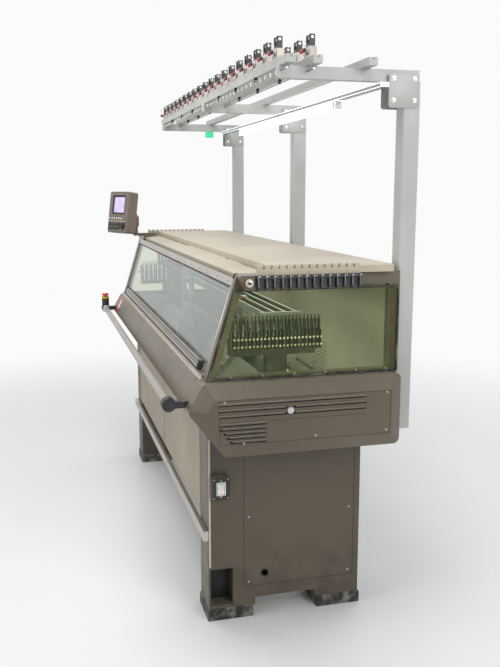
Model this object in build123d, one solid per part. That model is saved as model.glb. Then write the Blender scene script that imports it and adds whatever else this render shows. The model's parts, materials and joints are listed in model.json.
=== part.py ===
from build123d import *
from math import cos, radians, sin, sqrt, tan
import os

# A computerised flat knitting machine. X runs along the machine, with +X at the operator's right hand,
# -Y is the operator's side, +Z is up. The origin is on the floor under the middle of the machine's box.

# Overall size
MACHINE_LENGTH = 2600.0
MACHINE_DEPTH = 892.0
HALF_LENGTH = MACHINE_LENGTH / 2
FRONT_Y = -MACHINE_DEPTH / 2
REAR_Y = MACHINE_DEPTH / 2

# Clearances and fits
RUN_GAP = 0.3
PIN_FIT = 0.05
SLIDE_FIT = 0.1

# Yarn stand posts, which stand behind the body
POST_SIZE = 60.0
POST_WALL = 4.0
POST_BOTTOM_Z = 760.0
STAND_TOP_Z = 2000.0
POST_INSET = 90.0
BODY_REAR_Y = REAR_Y - POST_SIZE

# Body section: the fascia's top edge, its nose, its lower edge, and the body's base
FASCIA_TOP_BACK = 128.0
FASCIA_NOSE_BACK = 75.0
FASCIA_FOOT_BACK = 199.0
FASCIA_TOP_Z = 978.0
FASCIA_NOSE_Z = 883.0
FASCIA_FOOT_Z = 722.0
FASCIA_TOP = (FRONT_Y + FASCIA_TOP_BACK, FASCIA_TOP_Z)
FASCIA_NOSE = (FRONT_Y + FASCIA_NOSE_BACK, FASCIA_NOSE_Z)
FASCIA_FOOT = (FRONT_Y + FASCIA_FOOT_BACK, FASCIA_FOOT_Z)
SHEET = 3.0
CASING_WALL = 4.0
CASING_DEPTH = 150.0
BEVEL_RISE = 38.0
BEVEL_INSET = 48.0
CASING_CORNER_R = 22.0
LOCK_PROUD = 7.0
CASING_FACE_X = HALF_LENGTH - LOCK_PROUD
CASING_INNER_X = HALF_LENGTH - CASING_DEPTH

# Leg cabinets and feet
LEG_THICK = 150.0
LEG_INSET = 285.0
LEG_OUTER_X = HALF_LENGTH - LEG_INSET
LEG_INNER_X = LEG_OUTER_X - LEG_THICK
LEG_FRONT_PROUD = 8.0
LEG_FRONT_Y = FASCIA_FOOT[0] - LEG_FRONT_PROUD
LEG_REAR_BACK = 41.0
LEG_REAR_Y = BODY_REAR_Y - LEG_REAR_BACK
LEG_WALL = 12.0
FOOT_HEIGHT = 46.0
FOOT_LENGTH = 176.0
FOOT_SIDE = 4.0
ARCH_TOP_Z = 74.0
ARCH_LENGTH = 240.0
POCKET_BORDER = 7.0
POCKET_Y0 = LEG_FRONT_Y + POCKET_BORDER
POCKET_WIDTH = 86.0
POCKET_BOTTOM_Z = 58.0
POCKET_HEIGHT = 146.0
POCKET_DEPTH = 60.0
CABLE_HOLE_R = 13.0
CABLE_HOLE_BACK = 218.0
CABLE_HOLE_Y = LEG_FRONT_Y + CABLE_HOLE_BACK
CABLE_HOLE_Z = 170.0

# Lower cross members and apron
FRONT_BAR_Z = 322.0
FRONT_BAR_HEIGHT = 38.0
FRONT_BAR_DEPTH = 20.0
REAR_STAY_Z = 210.0
REAR_STAY_HEIGHT = 60.0
REAR_STAY_DEPTH = 40.0
REAR_STAY_BACK = 85.0
REAR_STAY_Y = LEG_REAR_Y - REAR_STAY_BACK
APRON_DROP = 340.0
APRON_RETURN = 22.0

# Needle beds: a V of two beds that meet over the throat
BED_END_SPACE = 690.0
BED_LENGTH = MACHINE_LENGTH - 2 * BED_END_SPACE
BED_ANGLE = 45.0
BED_TOP_Z = 1000.0
THROAT_HALF = 4.0
BED_WIDTH = 150.0
BED_THICK = 20.0
NEEDLE_PITCH = 20.0
NEEDLE_SLOT = 5.0
NEEDLE_SLOT_DEPTH = 3.0
NEEDLE_SLOT_START = 4.0

# Bed frame
BEAM_INNER_Y = 40.0
BEAM_SPACE = 151.0
BEAM_OUTER_Y = BODY_REAR_Y - BEAM_SPACE
BEAM_FOOT_HEIGHT = 50.0
END_PLATE = 16.0
END_PLATE_TOP_Z = 975.0
WAY_START = 160.0
WAY_WIDTH = 20.0
WAY_TOP = 1.2

# Carriage
CARRIAGE_LENGTH = 400.0
CAM_START = 20.0
CAM_END = 186.0
CAM_BACK = 150.0
CAM_GAP = 1.5
CAM_HEIGHT = 45.0
CAM_LOW_EDGE = 30.0
BRIDGE_LEG_Y = 138.0
BRIDGE_PLATE = 14.0
BRIDGE_TOP_Z = 1268.0
BRIDGE_WIDTH = 240.0
BRIDGE_HOLE_LENGTH = 120.0
BRIDGE_HOLE_HEIGHT = 120.0
BELT_ARM_LENGTH = 60.0
BELT_ARM_THICK = 8.0

# Carriage drive
PULLEY_R = 30.0
PULLEY_WIDTH = 22.0
PULLEY_FLANGE = 3.0
PULLEY_INSET = 78.0
PULLEY_X = CASING_INNER_X - PULLEY_INSET
PULLEY_Z = 850.0
BELT_THICK = 3.0
BELT_WIDTH = 15.0
BELT_SPACE = 17.0
BELT_Y = BEAM_OUTER_Y + BELT_SPACE
SHAFT_R = 8.0
MOTOR_SIZE = 104.0
MOTOR_LENGTH = 96.0
MOTOR_GAP = 6.0

# Yarn carriers and their rails
CARRIER_RAIL_Y = 20.0
OUTER_RAIL_Y = 60.0
RAIL_OFFSETS = (-OUTER_RAIL_Y, -CARRIER_RAIL_Y, CARRIER_RAIL_Y, OUTER_RAIL_Y)
RAIL_THICK = 8.0
RAIL_HEIGHT = 30.0
RAIL_Z = 1150.0
RAIL_INSET = 90.0
RAIL_END_X = CASING_INNER_X - RAIL_INSET
RAIL_BRACKET = 12.0
RAIL_BRACKET_WIDTH = 60.0
CARRIER_LENGTH = 46.0
CARRIER_WALL = 5.0
CARRIER_ARM = 6.0
CARRIER_ARM_WIDTH = 14.0
CARRIER_TIP_Z = 1006.0
CARRIER_TIP_R = 3.0
CARRIER_PASS_GAP = 1.0
CARRIER_PARK_SPACE = 420.0
CARRIER_PARK_X = RAIL_END_X - CARRIER_PARK_SPACE
CARRIERS = ((1, -CARRIER_RAIL_Y, CARRIER_PARK_X), (2, CARRIER_RAIL_Y, -CARRIER_PARK_X))

# End frames' places along the machine
FRAME_INSET = 108.0
FRAME_THICK = 30.0
FRAME_INNER_X = HALF_LENGTH - FRAME_INSET
FRAME_OUTER_X = FRAME_INNER_X + FRAME_THICK

# Front cover: it hangs from two pins and leans out towards its handle
COVER_LEAN = 17.0
HINGE_BACK = 128.0
HINGE_Y = FASCIA_TOP[0] + HINGE_BACK
HINGE_Z = 1322.0
HINGE_PIN_R = 5.0
HINGE_BOSS_R = 13.0
HINGE_EAR_R = 11.0
HINGE_EAR_THICK = 12.0
HINGE_PIN_LENGTH = 13.0
PANE_THICK = 5.0
PANE_TOP = 14.0
PANE_BOTTOM = 334.0
TOP_STRIP_START = 8.0
TOP_STRIP_END = 34.0
TOP_STRIP_THICK = 4.0
HANDLE_START = 312.0
HANDLE_END = 344.0
HANDLE_PROUD = 20.0
HANDLE_RIBS = 4
HANDLE_INSET = 92.0
HANDLE_HALF = FRAME_INNER_X - HANDLE_INSET
COVER_SIDE_GAP = 3.0

# End frames and windows
FRAME_POST = 30.0
FRAME_TOP_RAIL = 44.0
FRAME_FOOT_RAIL = 14.0
FRAME_REAR_POST = 40.0
FRAME_PROUD = 8.0
FRAME_TOP_Z = 1333.0
WINDOW_THICK = 5.0
WINDOW_LAP = 2.0
BEAM_WIDTH = 52.0
BEAM_HEIGHT = 48.0
BEAM_REAR_SPACE = 168.0
BEAM_REAR_Y = BODY_REAR_Y - BEAM_REAR_SPACE
BEAM_FRONT_PROUD = 12.0
BEAM_FRONT_Y = HINGE_Y - BEAM_FRONT_PROUD
BEAM_SLANT = 24.0
BEAM_CORNER_R = 7.0
BUSH_R = 15.0
BUSH_BORE_R = 7.0
BUSH_PROUD = 6.0
BUSH_BACK = 34.0
BUSH_Y = BEAM_FRONT_Y + BUSH_BACK

# Cover sill: a flat ledge with the channel that the handle rail closes on
SILL_THICK = 7.0
SILL_DEPTH = 68.0
SILL_REAR_Y = FASCIA_TOP[0] + SILL_DEPTH
CHANNEL_BACK = 6.0
CHANNEL_Y = FASCIA_TOP[0] + CHANNEL_BACK
CHANNEL_WIDTH = 12.0
CHANNEL_HEIGHT = 9.0
CHANNEL_SLOT = 4.0

# Hood, table and rear cover
HOOD_FRONT_SPACE = 20.0
HOOD_FRONT_Y = HINGE_Y + HOOD_FRONT_SPACE
HOOD_DEPTH = 86.0
HOOD_REAR_Y = HOOD_FRONT_Y + HOOD_DEPTH
HOOD_FRONT_Z = HINGE_Z
HOOD_LIP = 24.0
TABLE_TOP_Z = 1357.0
TABLE_FRONT_GAP = 6.0
TABLE_FRONT_Y = HOOD_REAR_Y + TABLE_FRONT_GAP
TABLE_REAR_SPACE = 34.0
TABLE_REAR_Y = BODY_REAR_Y - TABLE_REAR_SPACE
TABLE_OVERHANG = 34.0
TABLE_HALF_LENGTH = FRAME_OUTER_X + TABLE_OVERHANG
TABLE_CORNER_R = 14.0

# Slotted strip on each end beam, beside the table
STRIP_GAP = 0.5
STRIP_WIDTH = 17.0
STRIP_TOP_Z = 1366.0
STRIP_FRONT_SPACE = 62.0
STRIP_FRONT_Y = BEAM_FRONT_Y + STRIP_FRONT_SPACE
STRIP_REAR_SPACE = 4.0
STRIP_REAR_Y = BEAM_REAR_Y - STRIP_REAR_SPACE
STRIP_SLOT_PITCH = 26.0
STRIP_SLOT_WIDTH = 7.0
STRIP_SLOT_DEPTH = 12.0
REAR_COVER_TOP_Z = 1320.0
REAR_LOUVRES = 9
REAR_LOUVRE_LENGTH = 180.0
REAR_LOUVRE_HEIGHT = 7.0
REAR_LOUVRE_PITCH = 18.0
REAR_LOUVRE_Z = 800.0

# End casing louvres, each row as its first height and number of slots
LOUVRE_HEIGHT = 8.0
LOUVRE_SPACE = 40.0
LOUVRE_Y0 = FASCIA_TOP[0] + LOUVRE_SPACE
UPPER_LOUVRES = 3
UPPER_LOUVRE_Z = 868.0
UPPER_LOUVRE_PITCH = 20.0
UPPER_LOUVRE_LENGTH = 520.0
LOWER_LOUVRES = 5
LOWER_LOUVRE_Z = 780.0
LOWER_LOUVRE_PITCH = 15.0
LOWER_LOUVRE_LENGTH = 165.0
CASING_GROOVE = 2.0
CASING_GROOVE_Z = 850.0

# Casing lock
LOCK_Y = -30.0
LOCK_Z = 882.0
LOCK_R = 11.0
LOCK_STEM_R = 7.0
LOCK_BAR = 5.0

# Operating bar and stop button
BAR_R = 15.0
BAR_FLUTES = 12
BAR_FLUTE_R = 2.2
BAR_Z = 900.0
KNUCKLE_R = 24.0
KNUCKLE_LENGTH = 34.0
BAR_INSET = 140.0
KNUCKLE_X = HALF_LENGTH - BAR_INSET
JOURNAL_R = 11.0
JOURNAL_LENGTH = 26.0
BAR_Y = FRONT_Y + KNUCKLE_R
BRACKET_ARM_HEIGHT = 22.0
STOP_R = 21.0
STOP_HEIGHT = 46.0
STOP_BUTTON_R = 19.0
STOP_BUTTON_HEIGHT = 14.0
STOP_TRAVEL = 5.0
STOP_STEM_R = 8.0
STOP_STEM_LENGTH = 18.0

# Control panel
PANEL_WIDTH = 200.0
PANEL_HEIGHT = 246.0
PANEL_DEPTH = 72.0
PANEL_YAW = 62.0
PANEL_CORNER_R = 12.0
PANEL_LEAN = 8.0
PANEL_BOTTOM_Z = 1350.0
PANEL_POST_X = -FRAME_OUTER_X
PANEL_POST_PROUD = 20.0
PANEL_POST_Y = BEAM_FRONT_Y - PANEL_POST_PROUD
PANEL_POST_R = 14.0
PANEL_POST_TOP_Z = 1462.0
PANEL_ARM_REACH = 122.0
PANEL_ARM_REAR_Y = PANEL_POST_Y + PANEL_ARM_REACH
PANEL_ARM_HEIGHT = 16.0
PANEL_REACH = 52.0
PANEL_SLEEVE_R = 22.0
PANEL_SLEEVE_Z = 1396.0
PANEL_SLEEVE_HEIGHT = 54.0
SCREEN_WIDTH = 128.0
SCREEN_HEIGHT = 112.0
SCREEN_UP = 44.0
SCREEN_THICK = 3.0
SCREEN_RECESS = 5.0
KEY_COUNT = 6
KEY_PITCH = 24.0
KEY_R = 6.0
KEY_PROUD = 4.0
KEY_DEPTH = 10.0
KEY_TRAVEL = 2.0
KEY_ROW_UP = -38.0
KEY_START = -78.0
KEYPAD_WIDTH = 118.0
KEYPAD_HEIGHT = 46.0
KEYPAD_UP = -82.0
KEYPAD_LEFT = -92.0
KEYPAD_THICK = 2.0
KEYPAD_COLUMNS = 8
KEYPAD_ROWS = 2
KEYPAD_KEY = 10.0
KEYPAD_KEY_PROUD = 2.0
DIAL_R = 17.0
DIAL_PROUD = 14.0
DIAL_SIDE = 62.0
DIAL_UP = -82.0
DIAL_STEM_R = 5.0
DIAL_STEM_LENGTH = 12.0
DIAL_FLUTES = 10
DIAL_FLUTE_R = 2.0

# Take-down rollers
ROLLER_R = 31.0
ROLLER_GAP = 3.0
ROLLER_Z = 640.0
ROLLER_JOURNAL_R = 10.0
ROLLER_JOURNAL_LENGTH = 10.0
ROLLER_END_GAP = 4.0
ROLLER_GROOVES = 11
ROLLER_GROOVE_WIDTH = 12.0
ROLLER_GROOVE_DEPTH = 3.0

# Side tension banks, inside the end frames
BANK_INSET = 30.0
BANK_X = CASING_INNER_X - BANK_INSET
BANK_DEPTH = 46.0
BANK_BASE_Z = 1046.0
BANK_BASE_HEIGHT = 22.0
BANK_PROUD = 15.0
BANK_Y0 = HINGE_Y - BANK_PROUD
BANK_BLADES = 12
BANK_PITCH = 27.0
BLADE_THICK = 6.0
BLADE_HEIGHT = 92.0
BLADE_DEPTH = 60.0
STEM_BACK = 130.0
STEM_Y0 = BANK_Y0 + STEM_BACK
STEM_WIDTH = 76.0
TUBE_COUNT = 9
TUBE_R = 9.0
TUBE_TOP_Z = 1286.0

# Yarn hooks on the end beams
HOOK_PITCH = 27.0
HOOK_SPACE = 59.0
HOOK_Y0 = BEAM_FRONT_Y + HOOK_SPACE
HOOK_RAIL_HEIGHT = 12.0
HOOK_RAIL_DEPTH = 14.0
HOOK_DROP = 34.0
HOOK_THICK = 7.0
HOOK_DEPTH = 12.0
HOOK_COUNT = int((BEAM_REAR_Y - HOOK_Y0 - HOOK_THICK) // HOOK_PITCH) + 1

# Stand arms, rails, tension units and lamps
ARM_WIDTH = 34.0
ARM_HEIGHT = 40.0
ARM_FRONT_Y = -50.0
STAND_RAIL_Y = (-28.0, 62.0, 250.0)
STAND_RAIL_WIDTH = 30.0
STAND_RAIL_HEIGHT = 26.0
STAND_RAIL_SLOT = 8.0
STAND_RAIL_INSET = 38.0
STAND_RAIL_HALF = HALF_LENGTH - STAND_RAIL_INSET
UNIT_PITCH = 64.0
UNIT_WIDTH = 60.0
UNIT_COUNT = int((2 * STAND_RAIL_HALF - UNIT_WIDTH) // UNIT_PITCH)
UNIT_BLOCK = 26.0
UNIT_BLOCK_HEIGHT = 34.0
UNIT_DISC_R = 15.0
UNIT_DISC_THICK = 4.0
UNIT_KNOB_R = 7.0
UNIT_KNOB_LENGTH = 14.0
UNIT_DISC_SPACE = 31.0
UNIT_FIN_THICK = 4.0
UNIT_FIN_INSET = 3.0
UNIT_FIN_HEIGHT = 40.0
LAMP_END_SPACE = 550.0
LAMP_LENGTH = MACHINE_LENGTH - 2 * LAMP_END_SPACE
LAMP_R = 14.0
LAMP_BATTEN = 34.0
LAMP_BATTEN_HEIGHT = 14.0
LAMP_BACK = 56.0
LAMP_Y = BODY_REAR_Y - LAMP_BACK
LAMP_CAP = 22.0
LAMP_DROP = 4.0
SIGNAL_INSET = 90.0
SIGNAL_X = SIGNAL_INSET - HALF_LENGTH
SIGNAL_R = 26.0
SIGNAL_HEIGHT = 58.0
SIGNAL_BASE = 14.0

# Main switch on the end of the right leg
SWITCH_BACK = 41.0
SWITCH_Y = LEG_FRONT_Y + SWITCH_BACK
SWITCH_WIDTH = 66.0
SWITCH_Z = 490.0
SWITCH_HEIGHT = 86.0
SWITCH_DEPTH = 34.0
ROCKER_WIDTH = 24.0
ROCKER_HEIGHT = 40.0
ROCKER_PROUD = 7.0
ROCKER_DEPTH = 12.0
ROCKER_GAP = 1.2
ROCKER_PIN_R = 3.0


# Small helpers: blocks, rods and sections
def block(x0, x1, y0, y1, z0, z1):
    """A block between two corners, given in any order."""
    size = (abs(x1 - x0), abs(y1 - y0), abs(z1 - z0))
    return Pos((x0 + x1) / 2, (y0 + y1) / 2, (z0 + z1) / 2) * Box(*size)


def rod_x(x0, x1, y, z, radius):
    """A round rod along X."""
    return Pos((x0 + x1) / 2, y, z) * Rot(0, 90, 0) * Cylinder(radius, abs(x1 - x0))


def rod_y(y0, y1, x, z, radius):
    """A round rod along Y."""
    return Pos(x, (y0 + y1) / 2, z) * Rot(90, 0, 0) * Cylinder(radius, abs(y1 - y0))


def rod_z(z0, z1, x, y, radius):
    """A round rod along Z."""
    return Pos(x, y, (z0 + z1) / 2) * Cylinder(radius, abs(z1 - z0))


def outline(points, radius=0.0):
    """A closed outline in Y and Z as a flat face on the YZ plane, with its corners rounded."""
    flat = Polygon(*points, align=None)
    if radius > 0:
        flat = fillet(flat.vertices(), radius)
    return flat


def section(points, x0, x1, radius=0.0):
    """An outline in Y and Z carried along X."""
    low, high = min(x0, x1), max(x0, x1)
    return extrude(Plane.YZ.offset(low) * outline(points, radius), amount=high - low, dir=(1, 0, 0))


def slab(points, y0, y1):
    """An outline in X and Z carried along Y."""
    flat = Plane.XZ.offset(-y0) * Polygon(*points, align=None)
    return extrude(flat, amount=y1 - y0, dir=(0, 1, 0))


def band(points, thick):
    """The outline of a sheet of one thickness that follows a path of points, on the path's left side."""
    inner = []
    for i, point in enumerate(points):
        before = points[max(i - 1, 0)]
        after = points[min(i + 1, len(points) - 1)]
        ways = []
        for start, end in ((before, point), (point, after)):
            run = sqrt((end[0] - start[0]) ** 2 + (end[1] - start[1]) ** 2)
            if run > 0:
                ways.append((-(end[1] - start[1]) / run, (end[0] - start[0]) / run))
        nx = sum(way[0] for way in ways) / len(ways)
        ny = sum(way[1] for way in ways) / len(ways)
        reach = thick / (nx * nx + ny * ny)
        inner.append((point[0] + nx * reach, point[1] + ny * reach))
    return list(points) + inner[::-1]


def mirrored(shape):
    """The same shape at the other end of the machine."""
    return mirror(shape, about=Plane.YZ)


def opposite(shape):
    """The same shape at the other side of the throat."""
    return mirror(shape, about=Plane.XZ)


def group(solids):
    """Separate solids kept together as one piece of the machine."""
    return Compound([solid for shape in solids for solid in shape.solids()])


# Places on the sloping bed: along runs down from the throat, up stands off its face
def on_bed(along, up):
    """A point of the front bed's section."""
    lean = radians(BED_ANGLE)
    y = -THROAT_HALF - along * cos(lean) - up * sin(lean)
    z = BED_TOP_Z - along * sin(lean) + up * cos(lean)
    return (y, z)


def bed_face_z(y, up):
    """The height of a line that runs beside the front bed's face, at one place across the machine."""
    lean = radians(BED_ANGLE)
    start_y, start_z = on_bed(0, up)
    return start_z - (start_y - y) * tan(lean)


# Places on the front cover: along runs down from its hinge, out stands off the pane's middle
def on_cover(along, out):
    """A point of the front cover's section."""
    lean = radians(COVER_LEAN)
    y = HINGE_Y - along * sin(lean) - out * cos(lean)
    z = HINGE_Z - along * cos(lean) + out * sin(lean)
    return (y, z)


def cover_section(along0, along1, out0, out1, x0, x1):
    """A strip of the front cover, carried along X."""
    corners = [
        on_cover(along0, out0),
        on_cover(along1, out0),
        on_cover(along1, out1),
        on_cover(along0, out1),
    ]
    return section(corners, x0, x1)


# Legs and feet
def leg_right():
    """A hollow cabinet with a foot pocket, a cable hole, an arch and the take-down rollers' bearings."""
    body = block(LEG_INNER_X, LEG_OUTER_X, LEG_FRONT_Y, LEG_REAR_Y, FOOT_HEIGHT, FASCIA_FOOT[1])
    body = fillet(body.edges().filter_by(Axis.Z), 6)
    hollow = block(
        LEG_INNER_X + LEG_WALL,
        LEG_OUTER_X - POCKET_DEPTH - LEG_WALL,
        LEG_FRONT_Y + LEG_WALL,
        LEG_REAR_Y - LEG_WALL,
        ARCH_TOP_Z + LEG_WALL,
        FASCIA_FOOT[1] - LEG_WALL,
    )
    body -= hollow
    arch_y = (LEG_FRONT_Y + LEG_REAR_Y) / 2
    body -= block(
        LEG_INNER_X - 1, LEG_OUTER_X + 1, arch_y - ARCH_LENGTH / 2, arch_y + ARCH_LENGTH / 2,
        FOOT_HEIGHT - 1, ARCH_TOP_Z,
    )
    body -= block(
        LEG_OUTER_X - POCKET_DEPTH, LEG_OUTER_X + 1, POCKET_Y0, POCKET_Y0 + POCKET_WIDTH,
        POCKET_BOTTOM_Z, POCKET_BOTTOM_Z + POCKET_HEIGHT,
    )
    body -= rod_x(LEG_OUTER_X - POCKET_DEPTH, LEG_OUTER_X + 1, CABLE_HOLE_Y, CABLE_HOLE_Z, CABLE_HOLE_R)
    for side in (-1, 1):
        body -= rod_x(
            LEG_INNER_X - 1, LEG_INNER_X + ROLLER_JOURNAL_LENGTH + 1,
            side * roller_offset(), ROLLER_Z, ROLLER_JOURNAL_R + PIN_FIT,
        )
    return body


def feet():
    """Four black foot blocks with a chamfered foot edge."""
    blocks = []
    for x_side in (-1, 1):
        for y0 in (LEG_FRONT_Y - FOOT_SIDE, LEG_REAR_Y + FOOT_SIDE - FOOT_LENGTH):
            foot = block(
                x_side * (LEG_INNER_X - FOOT_SIDE), x_side * (LEG_OUTER_X + FOOT_SIDE),
                y0, y0 + FOOT_LENGTH, 0, FOOT_HEIGHT,
            )
            foot = chamfer(foot.edges().group_by(Axis.Z)[-1], FOOT_SIDE)
            blocks.append(foot)
    return group(blocks)


def cross_stays():
    """The front bar that crosses both legs, and the rear stay between them."""
    front = block(
        -LEG_OUTER_X, LEG_OUTER_X, LEG_FRONT_Y - FRONT_BAR_DEPTH, LEG_FRONT_Y,
        FRONT_BAR_Z, FRONT_BAR_Z + FRONT_BAR_HEIGHT,
    )
    front = fillet(front.edges().filter_by(Axis.X), 3)
    rear = block(
        -LEG_INNER_X, LEG_INNER_X, REAR_STAY_Y, REAR_STAY_Y + REAR_STAY_DEPTH,
        REAR_STAY_Z, REAR_STAY_Z + REAR_STAY_HEIGHT,
    )
    return group([front, rear])


def front_apron():
    """A folded sheet between the legs, with a return at its top and at its foot."""
    top = FASCIA_FOOT[1]
    path = [
        (LEG_FRONT_Y + APRON_RETURN, top - SHEET),
        (LEG_FRONT_Y, top - SHEET),
        (LEG_FRONT_Y, top - APRON_DROP),
        (LEG_FRONT_Y + APRON_RETURN, top - APRON_DROP),
    ]
    return section(band(path, SHEET), -LEG_INNER_X, LEG_INNER_X)


# Body casings
def body_outline():
    """The end casing's outline in Y and Z, from the fascia's top round to the rear."""
    return [
        FASCIA_TOP,
        FASCIA_NOSE,
        FASCIA_FOOT,
        (BODY_REAR_Y, FASCIA_FOOT[1]),
        (BODY_REAR_Y, FASCIA_TOP[1]),
    ]


def casing_form(inset, face_x):
    """The end casing's outer form: a straight band and a bevelled rim that narrows to the end face."""
    edge = outline(body_outline())
    if inset > 0:
        edge = offset(edge, amount=-inset, kind=Kind.INTERSECTION)
    radius = CASING_CORNER_R - inset
    edge = fillet(edge.vertices(), radius)
    face = offset(outline(body_outline()), amount=-BEVEL_INSET, kind=Kind.INTERSECTION)
    face = fillet(face.vertices(), radius / 2)
    rim_x = face_x - BEVEL_RISE
    start = Plane.YZ.offset(CASING_INNER_X) * edge
    straight = extrude(start, amount=rim_x - CASING_INNER_X, dir=(1, 0, 0))
    bevel = loft([Plane.YZ.offset(rim_x) * edge, Plane.YZ.offset(face_x) * face], ruled=True)
    return straight + bevel


def end_casing_right():
    """A bevelled shell with louvres, a groove and the lock's hole in its end face."""
    shell = casing_form(0, CASING_FACE_X)
    shell -= casing_form(CASING_WALL, CASING_FACE_X - CASING_WALL)
    cut_x = CASING_FACE_X - CASING_WALL - 1
    slots = []
    for i in range(UPPER_LOUVRES):
        slots.append((UPPER_LOUVRE_LENGTH, UPPER_LOUVRE_Z + i * UPPER_LOUVRE_PITCH))
    for i in range(LOWER_LOUVRES):
        slots.append((LOWER_LOUVRE_LENGTH, LOWER_LOUVRE_Z + i * LOWER_LOUVRE_PITCH))
    for length, z in slots:
        shell -= block(cut_x, CASING_FACE_X + 1, LOUVRE_Y0, LOUVRE_Y0 + length, z, z + LOUVRE_HEIGHT)
    groove_start = LOUVRE_Y0 + LOWER_LOUVRE_LENGTH + LOWER_LOUVRE_PITCH
    shell -= block(
        CASING_FACE_X - CASING_GROOVE, CASING_FACE_X + 1, groove_start,
        LOUVRE_Y0 + UPPER_LOUVRE_LENGTH, CASING_GROOVE_Z, CASING_GROOVE_Z + CASING_GROOVE,
    )
    shell += rod_x(CASING_FACE_X - CASING_WALL, CASING_FACE_X, LOCK_Y, LOCK_Z, LOCK_R + CASING_WALL)
    shell -= rod_x(cut_x, CASING_FACE_X + 1, LOCK_Y, LOCK_Z, LOCK_STEM_R + PIN_FIT)
    return shell


def casing_lock_right():
    """A quarter-turn lock: a stem through the casing, a head with a bar grip, and a cam behind."""
    head_x = CASING_FACE_X + SLIDE_FIT
    lock = rod_x(head_x, HALF_LENGTH, LOCK_Y, LOCK_Z, LOCK_R)
    grip_depth = (HALF_LENGTH - head_x) / 2
    for side in (-1, 1):
        lock -= block(
            HALF_LENGTH - grip_depth, HALF_LENGTH + 1, LOCK_Y + side * LOCK_BAR / 2,
            LOCK_Y + side * (LOCK_R + 1), LOCK_Z - LOCK_R, LOCK_Z + LOCK_R,
        )
    lock += rod_x(CASING_FACE_X - 2 * CASING_WALL, head_x, LOCK_Y, LOCK_Z, LOCK_STEM_R)
    cam_x = CASING_FACE_X - CASING_WALL - SLIDE_FIT
    lock += block(
        cam_x - CASING_WALL, cam_x, LOCK_Y - LOCK_STEM_R, LOCK_Y + LOCK_STEM_R,
        LOCK_Z - LOCK_STEM_R, LOCK_Z + 2 * LOCK_R,
    )
    return lock


def front_fascia():
    """The folded front sheet between the casings: its face, its nose and its slanting underside."""
    path = [
        (FASCIA_TOP[0] + APRON_RETURN, FASCIA_TOP[1]),
        FASCIA_TOP,
        FASCIA_NOSE,
        FASCIA_FOOT,
        (FASCIA_FOOT[0] + APRON_RETURN, FASCIA_FOOT[1]),
    ]
    return section(band(path, SHEET), -CASING_INNER_X, CASING_INNER_X)


def cover_sill():
    """The flat ledge under the front cover, with its raised channel."""
    top = FASCIA_TOP[1] + SILL_THICK
    ledge = block(
        -FRAME_INNER_X, FRAME_INNER_X, FASCIA_TOP[0], SILL_REAR_Y, FASCIA_TOP[1], top,
    )
    ledge = chamfer(ledge.edges().filter_by(Axis.X).group_by(Axis.Z)[-1].sort_by(Axis.Y)[0], 2)
    channel = block(
        -FRAME_INNER_X, FRAME_INNER_X, CHANNEL_Y, CHANNEL_Y + CHANNEL_WIDTH, top - 1, top + CHANNEL_HEIGHT,
    )
    slot_y = CHANNEL_Y + (CHANNEL_WIDTH - CHANNEL_SLOT) / 2
    channel -= block(
        -FRAME_INNER_X, FRAME_INNER_X, slot_y, slot_y + CHANNEL_SLOT, top, top + CHANNEL_HEIGHT + 1,
    )
    return ledge + channel


# Front cover
def cover_half_length():
    """Half the front cover's length, inside the end frames."""
    return FRAME_INNER_X - COVER_SIDE_GAP


def cover_glass():
    """The clear pane."""
    half = cover_half_length()
    return cover_section(PANE_TOP, PANE_BOTTOM, -PANE_THICK / 2, PANE_THICK / 2, -half, half)


def cover_top_strip():
    """The bright strip along the pane's top, with an ear at each end that turns on a hinge pin."""
    half = cover_half_length()
    face = PANE_THICK / 2
    strip = cover_section(TOP_STRIP_START, TOP_STRIP_END, face, face + TOP_STRIP_THICK, -half, half)
    strip += cover_section(TOP_STRIP_START, PANE_TOP, -face, face + TOP_STRIP_THICK, -half, half)
    for side in (-1, 1):
        outer = side * half
        inner = side * (half - HINGE_EAR_THICK)
        strip += rod_x(inner, outer, HINGE_Y, HINGE_Z, HINGE_EAR_R)
        strip += cover_section(0, PANE_TOP, -face, face + TOP_STRIP_THICK, inner, outer)
    for side in (-1, 1):
        outer = side * (half + 1)
        inner = side * (half - HINGE_EAR_THICK - 1)
        strip -= rod_x(inner, outer, HINGE_Y, HINGE_Z, HINGE_PIN_R + PIN_FIT)
    return strip


def cover_handle_rail():
    """The ribbed aluminium rail along the pane's foot, which is the cover's handle."""
    half = HANDLE_HALF
    face = PANE_THICK / 2
    step = (HANDLE_END - HANDLE_START) / HANDLE_RIBS
    base = face + HANDLE_PROUD / 3
    rail = cover_section(HANDLE_START, HANDLE_END, face, base, -half, half)
    rail += cover_section(PANE_BOTTOM, HANDLE_END, -face, base, -half, half)
    for i in range(HANDLE_RIBS):
        start = HANDLE_START + i * step
        height = HANDLE_PROUD * (1 - abs(i - 1.5) / 6)
        rail += cover_section(start, start + step * 0.6, face, face + height, -half, half)
    return rail


# End frames and windows
def frame_outline(inset_front, inset_top, inset_foot, inset_rear):
    """The end frame's outline, drawn in by its members' widths for the window."""
    lean = radians(COVER_LEAN)
    foot_z = FASCIA_TOP[1] + inset_foot
    top_z = FRAME_TOP_Z - inset_top
    start_y, start_z = on_cover(0, FRAME_PROUD)
    shift = inset_front / cos(lean)
    front_foot = start_y - (start_z - foot_z) * tan(lean) + shift
    front_top = start_y - (start_z - top_z) * tan(lean) + shift
    rear_y = BODY_REAR_Y - inset_rear
    return [(front_foot, foot_z), (rear_y, foot_z), (rear_y, top_z), (front_top, top_z)]


def window_outline():
    """The opening in the end frame that the window covers."""
    return frame_outline(FRAME_POST, FRAME_TOP_RAIL, FRAME_FOOT_RAIL, FRAME_REAR_POST)


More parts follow.
